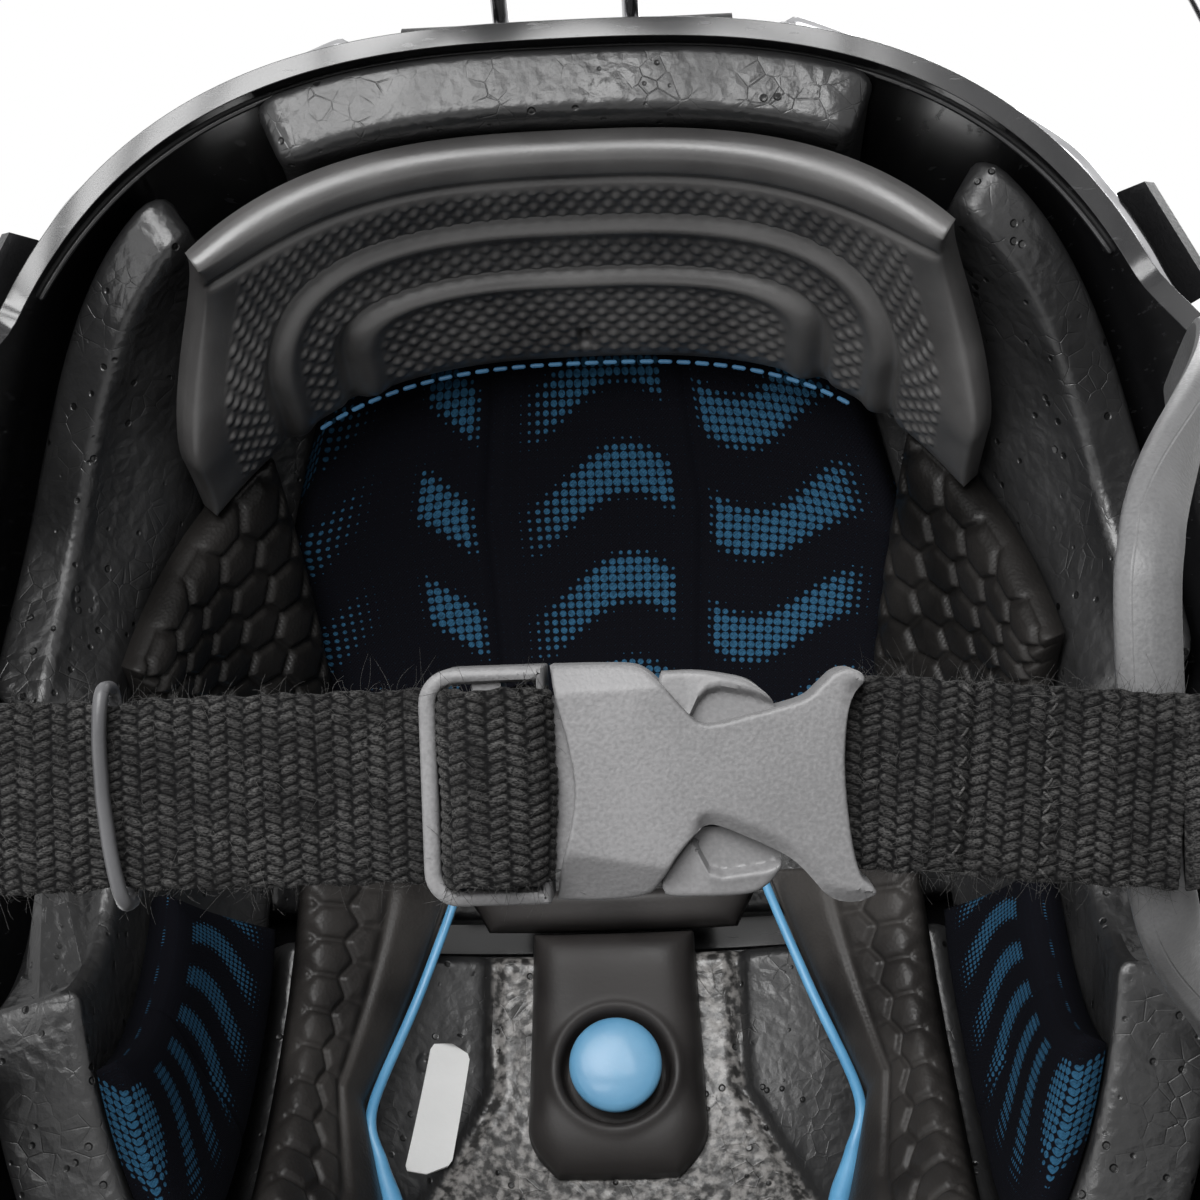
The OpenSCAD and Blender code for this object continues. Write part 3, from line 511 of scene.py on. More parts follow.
surfaces = {
    "shell": glossyShell(),
    "foam": beadFoam("blackBeads"),
    "rearFoam": beadFoam("rearBeads", ((0.025, 0.024, 0.023), (0.25, 0.24, 0.23))),
    "rubber": plainRubber("padRubber", (0.058, 0.056, 0.056), (0.088, 0.086, 0.085), 0.36, 1500, 0.75),
    "tabRubber": plainRubber("tabRubber", (0.020, 0.018, 0.0175), (0.034, 0.031, 0.030), 0.42, 1300, 0.2),
    "quilt": quiltedSkin("wingSkin", (0.018, 0.0165, 0.016), (0.052, 0.048, 0.045)),
    # the temple pads get a darker copy of the wing skin, as painted shade
    "shadedQuilt": quiltedSkin("templeSkin", (0.006, 0.0056, 0.0053), (0.018, 0.0165, 0.0155)),
    "knit": printedKnit(),
    # the strap yarn paints shade between the weave's lumps
    "yarn": spunYarn("strapYarn", (0.0022, 0.0022, 0.0024), (0.072, 0.0705, 0.069), True),
    "fuzz": spunYarn("looseFibre", (0.02, 0.02, 0.02), (0.11, 0.107, 0.104)),
    "buckle": grainedPlastic("buckleGrain", (0.13, 0.129, 0.131), (0.19, 0.188, 0.191), 0.46, 0.06),
    "smoothBuckle": grainedPlastic("thumbPadGrain", (0.14, 0.139, 0.141), (0.18, 0.178, 0.181), 0.42, 0.03),
    "loops": grainedPlastic("loopGrain", (0.10, 0.10, 0.102), (0.14, 0.14, 0.142), 0.42, 0.05),
    "clip": grainedPlastic("clipGrain", (0.012, 0.012, 0.013), (0.022, 0.022, 0.023), 0.36, 0.05),
    "keeper": plainRubber("keeperRubber", (0.06, 0.06, 0.063), (0.09, 0.09, 0.094), 0.34, 1600),
    "cup": plainRubber("cupRubber", (0.02, 0.02, 0.021), (0.035, 0.035, 0.036), 0.42, 1100),
    "wire": brightWire(),
    "steel": turnedSteel(),
    "piping": bluePlastic("bluePiping", (0.10, 0.32, 0.55), (0.14, 0.40, 0.65), 0.4, 0.1),
    "thread": bluePlastic("blueThread", (0.02, 0.085, 0.17), (0.04, 0.14, 0.26), 0.6, 0.0),
    "disc": bluePlastic("blueEnamel", (0.12, 0.34, 0.56), (0.16, 0.4, 0.62), 0.4, 0.2),
    "paper": plainRubber("blankPaper", (0.82, 0.82, 0.81), (0.88, 0.88, 0.87), 0.5, 900),
}
print("surfaces made")

# Shells

shells = {"wall": 3, "gap": 0.8, "finer": 6, "ventPower": 3.2, "ventReach": 0.7,
          "ridgeTilt": 15, "ridgeWidth": 7, "ridgeRise": 1.8}


def rib(start, rise, end, fall):
    # two low ribs run from front to back; each number is a turn in degrees
    def height(turn, tilt):
        side = smooth(1 - np.abs(np.abs(tilt) - shells["ridgeTilt"]) / shells["ridgeWidth"])
        return shells["ridgeRise"] * side * smooth((turn - start) / rise) * smooth((end - turn) / fall)
    return height


def shellPiece(name, rows, cols, widest, low, high, face, vents, ridge):
    # vents are rectangles of the coarse grid (first and last row, first and last column), and the
    # grid is drawn in round each of them so that its corners come out round
    k, p = shells["finer"], shells["ventPower"]
    i, j = np.meshgrid(np.arange(rows * k + 1) / k, np.arange(cols * k + 1) / k, indexing="ij")
    keep = np.ones((rows * k, cols * k), bool)
    moveI, moveJ = np.zeros_like(i), np.zeros_like(j)
    both = {v for r0, r1, c0, c1 in vents for v in ((r0, r1, c0, c1), (r0, r1, cols - c1, cols - c0))}
    for r0, r1, c0, c1 in sorted(both):
        keep[r0 * k:r1 * k, c0 * k:c1 * k] = False
        # a slot that starts at the edge is the rear half of one twice as long
        top = r0 if r0 > 0 else -r1
        a, b = (i - (top + r1) / 2) / ((r1 - top) / 2), (j - (c0 + c1) / 2) / ((c1 - c0) / 2)
        m = np.maximum(np.abs(a), np.abs(b))
        q = (np.abs(a) ** p + np.abs(b) ** p) ** (1 / p)
        f = mix(m / np.maximum(q, 1e-9), 1, smooth((m - 1) / shells["ventReach"])) - 1
        moveI += f * a * (r1 - top) / 2
        moveJ += f * b * (c1 - c0) / 2
    tilt = mix(-widest, widest, (j + moveJ) / cols)
    turn = mix(low(tilt), high(tilt), (i + moveI) / rows)
    outer = domePoint(turn, tilt, face - ridge(turn, tilt))
    thing = slab(name, outer, domePoint(turn, tilt, face + shells["wall"]), keep)
    return bevelled(thing, 0.6, 2, 50)


frontShell = shellPiece("frontShell", 24, 26, 79,
                        lambda tilt: -80 * smooth((np.abs(tilt) - 46) / 26),
                        lambda tilt: mix(110, 205, smooth((np.abs(tilt) - 50) / 14)), 0,
                        [(8, 11, 9, 10), (14, 17, 10, 11), (9, 11, 12, 14)], rib(16, 16, 88, 14))
fit(frontShell, "shell", "helmet", ["front_shell"])
rearShell = shellPiece("rearShell", 18, 20, 64, lambda tilt: 90,
                       lambda tilt: mix(206, 218, smooth((np.abs(tilt) - 30) / 34)),
                       -shells["gap"] - shells["wall"],
                       [(7, 10, 7, 8), (11, 13, 8, 9), (0, 3, 3, 4)], rib(92, 14, 186, 20))
fit(rearShell, "shell", "rear_half", ["rear_shell"])

# A thin bead runs inside the brow, along the shell's rim
rimBead = tube("rimBead", domePoint(2.6, np.linspace(-44, 44, 120), 3.2), 0.6, 10)
fit(rimBead, "shell", "helmet")
print("shells made")

# Bead foam

foam = {"face": 3.6, "thick": 18.4, "gap": 0.6, "crownShare": 0.6, "browShare": 0.6, "hairline": 27,
        "blockThick": 18.0, "channelTurns": [108, 128, 150, 196], "channelTilts": [15, 14, 24, 40]}
foamDeep = foam["face"] + foam["thick"]


def foamBack(turn):
    return mix(foam["face"] + foam["thick"] * foam["browShare"], foamDeep,
               smooth(np.asarray(turn) / foam["hairline"]))


def foamBlock(name, where, outer, inner, length, width, radius, grooves=None, step=1.6):
    # a rounded bar of foam: its section is swept from end to end, and where gives turn and tilt
    # for shares along the section (s) and along the sweep (t); outer and inner are insets
    rs, rd, rt = radius / length, radius / foam["blockThick"], radius / width
    long, deep = np.linspace(0, 1, max(4, int(length / step)) + 1), np.linspace(0, 1, 9)
    ends = np.linspace(0, math.pi / 2, 5)
    a = ends[1:-1]
    half = np.concatenate([np.stack([mix(rs, 1 - rs, long), 1 + 0 * long], 1),
                           np.stack([1 - rs + rs * np.sin(a), 1 - rd + rd * np.cos(a)], 1),
                           np.stack([1 + 0 * deep, mix(1 - rd, rd, deep)], 1),
                           np.stack([1 - rs + rs * np.cos(a), rd - rd * np.sin(a)], 1)])
    ring = np.concatenate([half, 1 - half])
    n = max(8, int(width / step))
    start = rt * (1 - np.cos(ends))[:-1]
    grow = np.sin(ends)[:-1]
    shrink = np.concatenate([grow, np.ones(n), grow[::-1]])[:, None]
    s = 0.5 + (ring[:, 0] - 0.5) * (1 - 2 * rs * (1 - shrink))
    d = 0.5 + (ring[:, 1] - 0.5) * (1 - 2 * rd * (1 - shrink))
    t = np.concatenate([start, np.linspace(rt, 1 - rt, n), 1 - start[::-1]])[:, None] + 0 * s
    turn, tilt = where(s, t)
    inset = mix(outer, inner(s), d)
    if grooves is not None:
        inset = inset - grooves(turn, tilt) * smooth((d - 0.7) / 0.2)
    return turnOutward(ringSkin(name, domePoint(turn, tilt, inset), 50))


def patch(turns, tilts):
    # a rectangle in turn and tilt, for shares s and t
    return lambda s, t: (mix(*turns, s), mix(*tilts, t))


frontFoam = foamBlock("frontFoam", patch((0.5, 38), (-23, 23)), foam["face"],
                      lambda s: foamBack(mix(0.5, 38, s)), 68, 78, 3)
fit(frontFoam, "foam", "helmet", ["front_foam"])
crownBack = foam["face"] + foam["thick"] * foam["crownShare"]
crownFoam = foamBlock("crownFoam", patch((39, 107), (-41, 41)), foam["face"], lambda s: crownBack,
                      120, 130, 3, step=3)
fit(crownFoam, "foam", "helmet", ["crown_foam"])


def sidePlace(s, t):
    # the block narrows at the temple and its front end slants
    turn = mix(3, 186, s)
    tilt = mix(mix(32, 43, smooth((turn - 23) / 11)), 75, t)
    return mix(mix(3, 24, smooth((tilt - 32) / 34)), 186, s), tilt


sideFoamLeft = foamBlock("sideFoamLeft", sidePlace, foam["face"] + 2, lambda s: foamBack(mix(3, 186, s)),
                         260, 56, 3.2, step=1.8)
fitPair(sideFoamLeft, "foam", "helmet", "side_foam")


def channelLine(turn):
    # the tilt of two channels beside the tab, which spread apart below it
    return np.interp(turn, foam["channelTurns"], foam["channelTilts"])


rearFoam = foamBlock("rearFoam", patch((112, 196), (-41, 41)), 0.2, lambda s: foamDeep + 1, 150, 130, 3,
                     lambda turn, tilt: 1.8 * hump(np.abs(tilt) - channelLine(turn), 0.9), 0.9)
fit(rearFoam, "rearFoam", "rear_half", ["rear_foam"])
print("foam made")

# Comfort pads

pads = {"face": 22.6, "thick": 7.4, "rearFace": 23.6, "fill": 0.7}
rearTop = pads["rearFace"] + pads["thick"]


def edgeShare(s, t, power=5):
    # 1 in the middle of a pad, falling to 0 at its edges
    across, along = (np.clip(1 - np.abs(2 * v - 1) ** power, 0, 1) for v in (s, t))
    return np.sqrt(across) * np.sqrt(along)


def padPiece(name, where, face, thick, cells, size, relief=None, edge=0.45, power=5):
    # a crowned cushion on the dome, in rows and columns of cells; size is its length and width in
    # millimetres for its flat map, and relief adds height for shares and for places on that map
    s, t = np.meshgrid(np.linspace(0, 1, cells[0] + 1), np.linspace(0, 1, cells[1] + 1), indexing="ij")
    x, y = (s - 0.5) * size[0], (t - 0.5) * size[1]
    turn, tilt = where(s, t)
    if callable(face):
        face = face(s, t)
    top = thick * (edge + (1 - edge) * edgeShare(s, t, power))
    if relief is not None:
        top = top + relief(s, t, x, y)
    bottom = domePoint(turn, tilt, face)
    upper = domePoint(turn, tilt, face + top)
    return turnOutward(slab(name, bottom, upper, uv=np.stack([y, x], -1), sharp=0, slide=5))


brow = {"length": 54, "width": 142, "dotPitch": 3.3, "rowPitch": 3.3 * 0.62, "dotRise": 0.5, "dotSize": 0.85,
        "arches": ((0.14, 0.3), (0.235, 0.55)), "deep": 36}


def browPlace(s, t):
    u = 2 * t - 1
    turn = mix(3.5 - 3 * u * u, brow["deep"], s)
    return turn, u * mix(33, 45, smooth(turn / 25))


def browRelief(s, t, x, y):
    # two nested arches, each a sunk line with a raised band inside it, and dots between them; an
    # arch is given by the shares of the pad beside its legs and above its top
    fade = smooth(edgeShare(s, t, 9) / 0.55)
    down = s * brow["length"]
    shape = -0.9 * hump(down - 4.6, 0.8)
    clear = smooth((down - 6.2) / 0.8) * smooth(brow["length"] - down - 3)
    clear *= smooth(brow["width"] * (0.5 - np.abs(t - 0.5)) - 7)
    for leg, top in brow["arches"]:
        across = np.abs(2 * t - 1) / (1 - 2 * leg)
        away = ((across ** 7 + ((1 - s) / (1 - top)) ** 7) ** (1 / 7) - 1) * (1 - top) * brow["length"]
        shape += 0.9 * hump(away + 1.2, 1.3) - 1.5 * hump(away - 1.3, 0.9)
        clear *= smooth((np.abs(away) - 2.4) / 0.8)
    p = brow["dotPitch"]
    row = np.round(x / brow["rowPitch"])
    shift = np.where(row % 2 == 0, 0, p / 2)
    dx = y - shift - np.round((y - shift) / p) * p
    dy = x - row * brow["rowPitch"]
    dots = np.exp(-((dx * dx + dy * dy) / brow["dotSize"] ** 2) ** 1.4)
    notch = -1.5 * np.exp(-((y / 1.1) ** 4)) * np.exp(-((down - 0.86 * brow["length"]) / 2.6) ** 4)
    return (shape + notch) * fade + brow["dotRise"] * dots * clear * fade


def browFace(s, t):
    return foamBack(mix(3.5, brow["deep"], s)) + foam["gap"] + 1.7 * (2 * t - 1) ** 2


foreheadPad = padPiece("foreheadPad", browPlace, browFace, pads["thick"], (130, 330),
                       (brow["length"], brow["width"]), browRelief)
fit(foreheadPad, "rubber", "helmet", ["forehead_pad"])


def hexSeams(x, y, size, width, depth):
    # sunk lines round six-sided cells: distance to the nearest cell's edge
    cx, cy = size * math.sqrt(3), size * 3
    best = np.full(x.shape, 1e9)
    nearX, nearY = np.zeros_like(x), np.zeros_like(x)
    for ox, oy in ((0, 0), (cx / 2, cy / 2)):
        dx = x - ox - np.round((x - ox) / cx) * cx
        dy = y - oy - np.round((y - oy) / cy) * cy
        far = dx * dx + dy * dy
        closer = far < best
        best = np.where(closer, far, best)
        nearX, nearY = np.where(closer, dx, nearX), np.where(closer, dy, nearY)
    slanted = np.abs(nearX) * 0.5 + np.abs(nearY) * math.sqrt(3) / 2
    edge = cx / 2 - np.maximum(np.abs(nearX), slanted)
    return -depth * hump(np.maximum(edge, 0), width) + 0.25 * smooth(edge / (cx / 2))


def quilted(s, t, x, y):
    return hexSeams(x, y, 5.6, 0.75, 1.1) * smooth(edgeShare(s, t, 8) / 0.5)


templePadLeft = padPiece("templePadLeft", patch((38, 84), (35.5, 66)), pads["face"] + 0.42,
                         pads["thick"] - 0.2, (110, 80), (70, 46), quilted)
# the darker copy of the skin is painted shade on the temple pads
fitPair(templePadLeft, "shadedQuilt", "helmet", "temple_pad")


def crownPlace(s, t):
    turn = mix(39, 98, s)
    half = np.minimum(34, np.minimum(26 + (turn - 39) * 0.46, 24 + (98 - turn) * 0.6))
    return turn, (2 * t - 1) * half


def crownRelief(s, t, x, y):
    # three soft panels, parted by sewn lines that run from front to back
    return -1.1 * hump(np.abs(y) - 19, 1.1) * smooth(edgeShare(s, t) / 0.6)


crownPad = padPiece("crownPad", crownPlace, crownBack + 1.5 * foam["gap"], pads["thick"], (90, 110),
                    (92, 104), crownRelief)
fit(crownPad, "knit", "helmet", ["crown_pad"])
earPadLeft = padPiece("earPadLeft", patch((112, 184), (44.5, 66)), pads["face"], pads["thick"], (90, 36),
                      (118, 40), lambda s, t, x, y: -hump(x - 4, 1.2) * smooth(edgeShare(s, t) / 0.6))
fitPair(earPadLeft, "knit", "helmet", "ear_pad")

wings = {"turns": (103, 168), "edgeTurns": [103, 134, 148, 168], "edgeTilts": [20.5, 29.5, 24.5, 24],
         "outside": 40.5, "slope": 0.42}


def wingPlace(s, t):
    turn = mix(*wings["turns"], s)
    return turn, mix(np.interp(turn, wings["edgeTurns"], wings["edgeTilts"]), wings["outside"], t)


def wingRelief(s, t, x, y):
    # a smooth slope along the inner edge, then quilted cells
    inwards = t - wings["slope"]
    slope = -1.4 * (1 - smooth(t / wings["slope"])) - 0.9 * hump(inwards, 0.05)
    cells = hexSeams(x, y, 5.2, 0.7, 1.0) * smooth(inwards / 0.1)
    return (slope + cells) * smooth(edgeShare(s, t, 8) / 0.5)


rearWingLeft = padPiece("rearWingLeft", wingPlace, pads["rearFace"], pads["thick"], (150, 60), (104, 24),
                        wingRelief)
fitPair(rearWingLeft, "quilt", "rear_half", "rear_wing")

tab = {"turns": (110.1, 137.5), "half": 10, "disc": 127, "size": (48, 33), "recess": 11.6}


def tabPlace(s, t):
    half = tab["half"] * (1 - 0.35 * (np.maximum(0, s - 0.8) / 0.2) ** 2)
    return mix(*tab["turns"], s), (2 * t - 1) * half


def tabRelief(s, t, x, y):
    # a round recess for the disc, with a low rim
    middle = (tab["disc"] - tab["turns"][0]) / (tab["turns"][1] - tab["turns"][0])
    away = np.hypot((s - middle) * tab["size"][0], (t - 0.5) * tab["size"][1])
    return -4.0 * smooth((tab["recess"] - away) / 1.8) + 0.5 * hump(away - tab["recess"] - 1.2, 1.0)


rearTab = padPiece("rearTab", tabPlace, pads["rearFace"], pads["thick"], (80, 60), tab["size"], tabRelief,
                   edge=0.3, power=6)
fit(rearTab, "tabRubber", "rear_half", ["rear_tab"])
rearCrossbar = padPiece("rearCrossbar", lambda s, t: (mix(104.5, 109.6, s), (2 * t - 1) * mix(18.5, 15.5, s)),
                        pads["rearFace"], pads["thick"] * 0.8, (16, 80), (9, 60), edge=0.35, power=4)
fit(rearCrossbar, "tabRubber", "rear_half", ["rear_crossbar"])
print("pads made")

# Chin strap

strap = {"width": 20, "thick": 0.8, "y": 18.6, "z": -101.4, "drift": 3.2, "column": 1.85, "lump": 1.1,
         "slant": 0.36, "rise": 0.42, "freeEnd": -60, "mouth": 31.3}


def jitter(a, b, seed):
    # steady pseudo-random share from 0 to 1 for whole numbers a and b
    v = np.sin(a * 12.9898 + b * 78.233 + seed * 37.719) * 43758.5453
    return v - np.floor(v)


def weave(u, v, seed):
    # raised yarn lumps in columns across the strap; neighbouring columns slant the other way
    column = np.floor(u / strap["column"])
    a = u - (column + 0.5) * strap["column"]
    odd = column % 2
    slid = v + (1 - 2 * odd) * strap["slant"] * a + odd * strap["lump"] / 2
    row = np.round(slid / strap["lump"])
    b = slid - row * strap["lump"]
    size = 0.85 + 0.25 * jitter(column, row, seed)
    lump = 1 - (np.abs(a) / (1.02 * size)) ** 2.6 - (np.abs(b) / 0.53) ** 2.3
    plies = 0.1 * np.cos(b * 17 + 2 * a)
    return np.clip(lump, 0, 1) ** 0.6 * (0.75 + 0.45 * jitter(column, row, seed + 1) + plies)


def webbing(name, path, start, step, across, shape, seed):
    # woven band along a path in the XZ plane; start is the distance along the weave at its first
    # point, and shape gives its width, lift and swelling for distances along it
    path = np.asarray(path, float)
    gone = np.concatenate([[0], np.cumsum(np.linalg.norm(np.diff(path, axis=0), axis=1))])
    far = np.linspace(0, gone[-1], int(gone[-1] / step) + 1)
    line = np.stack([np.interp(far, gone, path[:, k]) for k in range(3)], 1)
    along = np.gradient(line, axis=0)
    along[2:-2] = (along[:-4] + along[1:-3] + along[2:-2] + along[3:-1] + along[4:]) / 5
    away = unit(np.stack([along[:, 2], 0 * far, -along[:, 0]], 1))
    side = unit(np.cross(along, away))
    v = np.linspace(-1, 1, int(strap["width"] / across) + 1)[None, :] * strap["width"] / 2
    u = (start + far)[:, None]
    narrow, lift, thicker = shape(u)
    loose = 0.12 * np.sin(u * 0.9 + seed) + 0.08 * np.sin(u * 2.3 + 2 * seed)
    wide = v * narrow + loose * np.sign(v) * (np.abs(v) / 10) ** 6
    body = (strap["thick"] + thicker) * (1 - (np.abs(v) / 10.15) ** 9) ** 0.5
    wavy = lift + 0.14 * np.sin(u * 0.37 + v * 0.21 + seed) + 0.08 * np.sin(u * 0.8 - v * 0.5)
    knots = weave(u, v, seed)
    front = body + strap["rise"] * knots
    back = body + strap["rise"] * weave(u + 0.9, v, seed + 5)
    middle = line[:, None, :] + side[:, None, :] * wide[..., None] + away[:, None, :] * wavy[..., None]
    outer = middle + away[:, None, :] * front[..., None]
    inner = middle - away[:, None, :] * back[..., None]
    # the map's first coordinate is the lump height, which the yarn uses to paint shade between lumps
    flat = np.stack([knots, v / 10 + 0 * knots], -1)
    return turnOutward(slab(name, outer, inner, uv=flat, sharp=0)), outer


def strapFibres(name, face, count, seed, longest):
    # loose fibres that curl off the webbing's face: most of them leave at its two edges
    random = np.random.default_rng(seed)
    rows, cols = face.shape[:2]
    out = np.cross(np.gradient(face, axis=0), np.gradient(face, axis=1))
    out /= np.linalg.norm(out, axis=2)[..., None] + 1e-9
    i = random.integers(2, rows - 2, count)
    atEdge = random.random(count) < 0.62
    atFirst, first = random.random(count) < 0.5, random.integers(0, 4, count)
    edge = np.where(atFirst, first, cols - 1 - random.integers(0, 4, count))
    j = np.where(atEdge, edge, random.integers(3, cols - 3, count))
    at, middle = face[i, j], face[i, cols // 2]
    outward = at - middle
    outward /= np.linalg.norm(outward, axis=1)[:, None] + 1e-9
    normal = out[i, np.clip(j, 6, cols - 7)]
    normal *= np.sign(-normal[:, 2:3] + 1e-6)
    head = np.where(atEdge[:, None], outward + 0.4 * normal, normal)
    head = unit(head + 0.7 * random.normal(size=(count, 3)))
    curl = random.normal(size=(count, 3))
    length = longest * (0.25 + 0.75 * random.random(count) ** 2)
    s = np.linspace(0, 1, 6)
    line = (at[:, None, :] + head[:, None, :] * (length[:, None] * s)[..., None]
            + curl[:, None, :] * (0.42 * length[:, None] * s ** 2)[..., None])
    thin = 0.03 * (1 - 0.55 * s)[None, :, None, None]
    around = np.linspace(0, 2 * math.pi, 3, endpoint=False)
    ring = np.stack([np.cos(around), np.sin(around), np.cos(around + 1)], -1)
    points = (line[:, :, None, :] + thin * ring[None, None]).reshape(-1, 3)
    h, k, m = np.meshgrid(np.arange(count), np.arange(5), np.arange(3), indexing="ij")
    a, after = h * 18 + k * 3, (m + 1) % 3
    faces = np.stack([a + m, a + after, a + 3 + after, a + 3 + m], -1).reshape(-1, 4)
    return makeMesh(name, points, faces, sharp=0)


def moved(thing):
    # the same mesh taken to the other side of the head
    other = flipped(thing.name + "Side", thing)
    bpy.data.objects.remove(thing)
    return other


def flatShape(u):
    return 1, 0, 0


def endShape(u):
    # gathered under the keeper ring
    ring = hump(u - 15.4, 2.6)
    return 1 - 0.05 * ring, -0.1 * ring, -0.1 * ring


seams = {"first": 44.5, "second": 53.3}


def foldShape(u):
    # doubled and sewn near the buckle, pinched at the two rows of stitches
    first, second = hump(u - seams["first"], 0.8), hump(u - seams["second"], 0.45)
    doubled = 0.35 * (1 - smooth((u - 43) / 2.5))
    return 1 - 0.035 * first, -0.5 * first - 0.15 * second, doubled - 0.2 * first


def onStrap(*stops):
    # points on the straight stretch, from pairs along the strap and above it
    return [(x, strap["y"], strap["z"] + z) for x, z in stops]


# The webbing goes round the ladder's bar; the stops are measured from the ladder's end
ladderX, barDeep = -11.7, 4.2
turnStops = [(-6, 0), (-1, 0), (1.6, -0.2), (2.9, -1.6), (2.9, 0.6 - barDeep), (3.5, -0.6 - barDeep),
             (5.2, -1.6 - barDeep), (7.4, -1.75 - barDeep), (9.8, -1.35 - barDeep), (11.9, -0.35 - barDeep),
             (12.6, 1.4 - barDeep), (11.4, -1.6), (9.4, -0.3), (6, 0)]
wrapLine = throughPoints(onStrap(*[(ladderX + x, z) for x, z in turnStops]), 8)
endRun = np.linspace(*onStrap((strap["freeEnd"] + 0.05, 0), (ladderX - 6, 0)), 20)
endLine = np.concatenate([endRun[:-1], wrapLine])
strapLeftEnd, endFace = webbing("strapLeftEnd", endLine, 0, 0.28, 0.135, endShape, 3)

# Both sides rise to the ears alike; the right one has drifted back
y = strap["y"]
rise = onStrap((64, 0), (70, 0), (81, 7)) + [(93, y, -72), (103.4, y, -48), (105.7, y + 1, -34),
                                             (105.7, y + 1, -24)]
leftRun = np.linspace(*onStrap((-strap["freeEnd"], 0), (64, 0)), 6)
leftLine = np.concatenate([leftRun[:-1], throughPoints(rise, 10)])
strapLeft, leftFace = webbing("strapLeft", leftLine, 0, 0.46, 0.22, flatShape, 4)
strapLeftFibres = strapFibres("strapLeftFibres", leftFace, 260, 21, 3.5)
strapLeft = moved(strapLeft)
strapLeftFibres = moved(strapLeftFibres)
drift = np.array([0, strap["drift"], 0])
near = throughPoints(np.array(onStrap((strap["mouth"], 0), (37, 0), (52, 0), (66, 0)))
                     + np.array([0, 0.35, 1.9, strap["drift"]])[:, None] * (0, 1, 0), 12)
strapRight, rightFace = webbing("strapRight", near, strap["mouth"], 0.27, 0.135, foldShape, 5)
riseRight = throughPoints(np.array(onStrap((66, 0)) + rise[1:]) + drift, 10)
strapRightRise, riseFace = webbing("strapRightRise", riseRight, 66.4, 0.46, 0.22, flatShape, 6)

fit(strapLeft, "yarn", "helmet", ["strap_left"])
fit(strapLeftFibres, "fuzz", "helmet")
for piece in (strapRight, strapRightRise):
    fit(piece, "yarn", "helmet", ["strap_right"])
fit(strapFibres("strapRightFibres", rightFace, 620, 22, 3.2), "fuzz", "helmet")
fit(strapFibres("strapRiseFibres", riseFace, 260, 23, 3.2), "fuzz", "helmet")
strapEndFibres = strapFibres("strapEndFibres", endFace, 900, 24, 3.2)
for piece, surface in ((strapLeftEnd, "yarn"), (strapEndFibres, "fuzz")):
    piece.data.materials.append(surfaces[surface])
    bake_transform(piece)
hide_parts("strap_left_end")

# Two rows of stitches hold the fold
stitches = []
for seam, pitch in ((seams["first"], 1.5), (seams["second"], 1.3)):
    row = int(np.argmin(np.abs(rightFace[:, 0, 0] - seam)))
    for k, v in enumerate(np.arange(-9.2, 9.3, pitch)):
        col = int(round((v / 10 + 1) / 2 * (rightFace.shape[1] - 1)))
        here = rightFace[row, col] + np.array([0, 0, -0.12])
        lean = np.array([0.35 * (1 - 2 * (k % 2)), 0.42, 0])
        bow = [here - lean + (0, 0, 0.2), here + (0, 0, -0.06), here + lean + (0, 0, 0.2)]
        stitches.append(tube("stitch", throughPoints(bow, 3), 0.14, 6))
fit(joined("strapStitches", stitches), "fuzz", "helmet")

# The keeper is a round rubber ring, its front bar bowed
angle = np.linspace(0, 2 * math.pi, 96, endpoint=False)
ringY = 11.25 * np.sign(np.cos(angle)) * np.abs(np.cos(angle)) ** 0.32
ringZ = 2.5 * np.sign(np.sin(angle)) * np.abs(np.sin(angle)) ** 0.5
ringX = -44.0 + 0.07 * ringY - 0.9 * (1 - (ringY / 11.3) ** 2) * (ringZ < 0)
ringPath = np.stack([ringX, strap["y"] + ringY, strap["z"] + ringZ], 1)
keeperRing = tube("keeperRing", ringPath, 0.78, 14, closed=True, away=(1, 0, 0))
fit(keeperRing, "keeper", "keeper", ["keeper_ring"])
print("chin strap made")

# Buckle

buckle = {"x": 1.6, "half": 4.2, "insets": (0.07, 0.16, 0.3, 0.5, 0.8, 1.2)}


def fromStrap(x, u, depth):
    # buckle coordinates to the shared frame: x along the strap, u upwards in the view, depth away from it
    x, u, depth = np.broadcast_arrays(x, u, depth)
    return np.stack([buckle["x"] + x, strap["y"] - u, strap["z"] + depth], -1)


def inward(loop):
    # the direction into an outline at each of its points
    ahead = unit(np.roll(loop, -1, 0) - np.roll(loop, 1, 0))
    normal = np.stack([ahead[:, 1], -ahead[:, 0]], 1)
    area = np.sum(loop[:, 0] * np.roll(loop[:, 1], -1) - loop[:, 1] * np.roll(loop[:, 0], -1))
    return normal if area < 0 else -normal


def nearEdge(points, loop):
    # distance from each point to an outline, and the outline's outward direction there
    run = np.roll(loop, -1, 0) - loop
    fromStart = points[:, None, :] - loop[None]
    share = np.einsum("pkc,kc->pk", fromStart, run) / np.maximum((run ** 2).sum(1), 1e-12)
    away = points[:, None, :] - (loop[None] + np.clip(share, 0, 1)[..., None] * run[None])
    far = np.linalg.norm(away, axis=2)
    best = far.argmin(1)
    return far[np.arange(len(points)), best], -inward(loop)[best]


